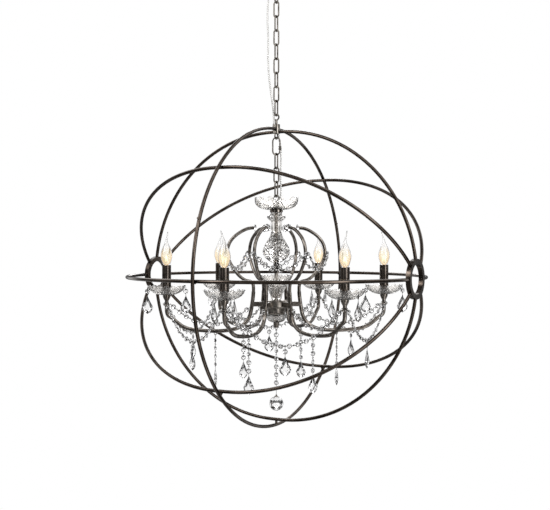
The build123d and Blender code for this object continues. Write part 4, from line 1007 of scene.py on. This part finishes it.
level_band = ramp(sky, rise.outputs["Result"], [
    (0.0, 0.85), (0.14, 0.85), (0.17, 0.03), (0.36, 0.04), (0.40, 1.0), (0.61, 1.0), (0.65, 0.03),
    (0.80, 0.03), (0.83, 1.0), (1.0, 1.0)])
posts = ramp(sky, around.outputs["Fac"], [
    (0.00, 1.0), (0.05, 1.0), (0.06, 0.03), (0.115, 0.03), (0.125, 1.0), (0.19, 1.0), (0.20, 0.03),
    (0.27, 0.03), (0.28, 1.0), (0.40, 1.0), (0.41, 0.03), (0.46, 0.03), (0.47, 1.0), (0.55, 1.0),
    (0.56, 0.03), (0.62, 0.03), (0.63, 1.0), (0.69, 1.0), (0.70, 0.03), (0.74, 0.03), (0.75, 1.0),
    (0.91, 1.0), (0.92, 0.03), (0.96, 0.03), (0.97, 1.0), (1.00, 1.0)])
refracted = sky_mix(None, level_band, posts, "MULTIPLY")

rays = sky.nodes.new("ShaderNodeLightPath")
plain = sky_grey(0.8)
seen = sky_mix(rays.outputs["Is Glossy Ray"], plain, reflected)
seen = sky_mix(rays.outputs["Is Transmission Ray"], seen, refracted)
seen = sky_mix(rays.outputs["Is Camera Ray"], seen, sky_grey(1.0))
sky.links.new(seen, sky.nodes["Background"].inputs["Color"])
print("world ready")

# %% [markdown]
# The floor is a pale round well below the lamp, soft at its edge, so that it melts into the white. It
# keeps the shadow, and reflections leave it out, or the underside of every bar would turn pale. Two
# soft boxes and a small one from behind give the bars and the glass their bright edges.

# %% Floor
FLOOR_RADIUS = 2.2
FLOOR_Z = -2.5
floor_turn = 2 * np.pi * np.arange(96)[None, :] / 96
floor_rings = np.linspace(0.01, FLOOR_RADIUS, 12)[:, None]
floor_places = (floor_rings * np.cos(floor_turn), floor_rings * np.sin(floor_turn), FLOOR_Z)
floor_points = np.stack(np.broadcast_arrays(*floor_places), -1).reshape(-1, 3)
floor_mesh = bpy.data.meshes.new("floor")
floor_faces = [part[:, ::-1] for part in [grid_faces(12, 96)] + end_caps(12, 96)[:1]]
floor_mesh.from_pydata(floor_points.tolist(), [], [row for part in floor_faces for row in part.tolist()])
floor = bpy.data.objects.new("floor", floor_mesh)
scene.collection.objects.link(floor)
floor.visible_glossy = False

pale, pale_tree, pale_shader = new_finish("pale_floor")
pale_tone = ramp(pale_tree, grain(pale_tree, 3.0), [(0.3, 0.80), (0.7, 0.84)])
pale_tree.links.new(pale_tone, pale_shader.inputs["Base Color"])
pale_shader.inputs["Roughness"].default_value = 0.9
pale_white = pale_tree.nodes.new("ShaderNodeEmission")
pale_white.inputs["Strength"].default_value = 1.0
floor_distance = pale_tree.nodes.new("ShaderNodeTexGradient")
floor_distance.gradient_type = "SPHERICAL"
floor_space = pale_tree.nodes.new("ShaderNodeTexCoord")
floor_scale = pale_tree.nodes.new("ShaderNodeMapping")
floor_scale.inputs["Location"].default_value = (0, 0, -FLOOR_Z / FLOOR_RADIUS)
floor_scale.inputs["Scale"].default_value = (1 / FLOOR_RADIUS, 1 / FLOOR_RADIUS, 1 / FLOOR_RADIUS)
pale_tree.links.new(floor_space.outputs["Object"], floor_scale.inputs["Vector"])
pale_tree.links.new(floor_scale.outputs["Vector"], floor_distance.inputs["Vector"])
pale_fade = ramp(pale_tree, floor_distance.outputs["Fac"], [(0.0, 1.0), (0.55, 0.45), (1.0, 0.35)])
pale_mix = pale_tree.nodes.new("ShaderNodeMixShader")
pale_tree.links.new(pale_fade, pale_mix.inputs["Fac"])
pale_tree.links.new(pale_shader.outputs["BSDF"], pale_mix.inputs[1])
pale_tree.links.new(pale_white.outputs["Emission"], pale_mix.inputs[2])
pale_tree.links.new(pale_mix.outputs["Shader"], pale_tree.nodes["Material Output"].inputs["Surface"])
floor_mesh.materials.append(pale)
print("floor", len(floor_mesh.polygons), "faces")

# %% Soft boxes


def soft_box(name, offset, width, height, power):
    """Area lamp that looks at the orb from an offset in metres and isn't itself in the picture."""
    lamp = bpy.data.lights.new(name, "AREA")
    lamp.shape = "RECTANGLE"
    lamp.size = width
    lamp.size_y = height
    lamp.energy = power
    box = bpy.data.objects.new(name, lamp)
    box.location = orb_centre + Vector(offset)
    box.rotation_euler = Vector(offset).to_track_quat("Z", "Y").to_euler()
    box.visible_camera = False
    scene.collection.objects.link(box)


soft_box("key_box", (-1.2, -2.6, 1.6), 0.9, 1.6, 36.0)
soft_box("side_box", (3.0, -0.9, 0.8), 0.7, 1.8, 26.0)
soft_box("back_box", (-1.6, 2.8, 1.2), 0.8, 1.4, 20.0)
print("soft boxes", len(bpy.data.lights))
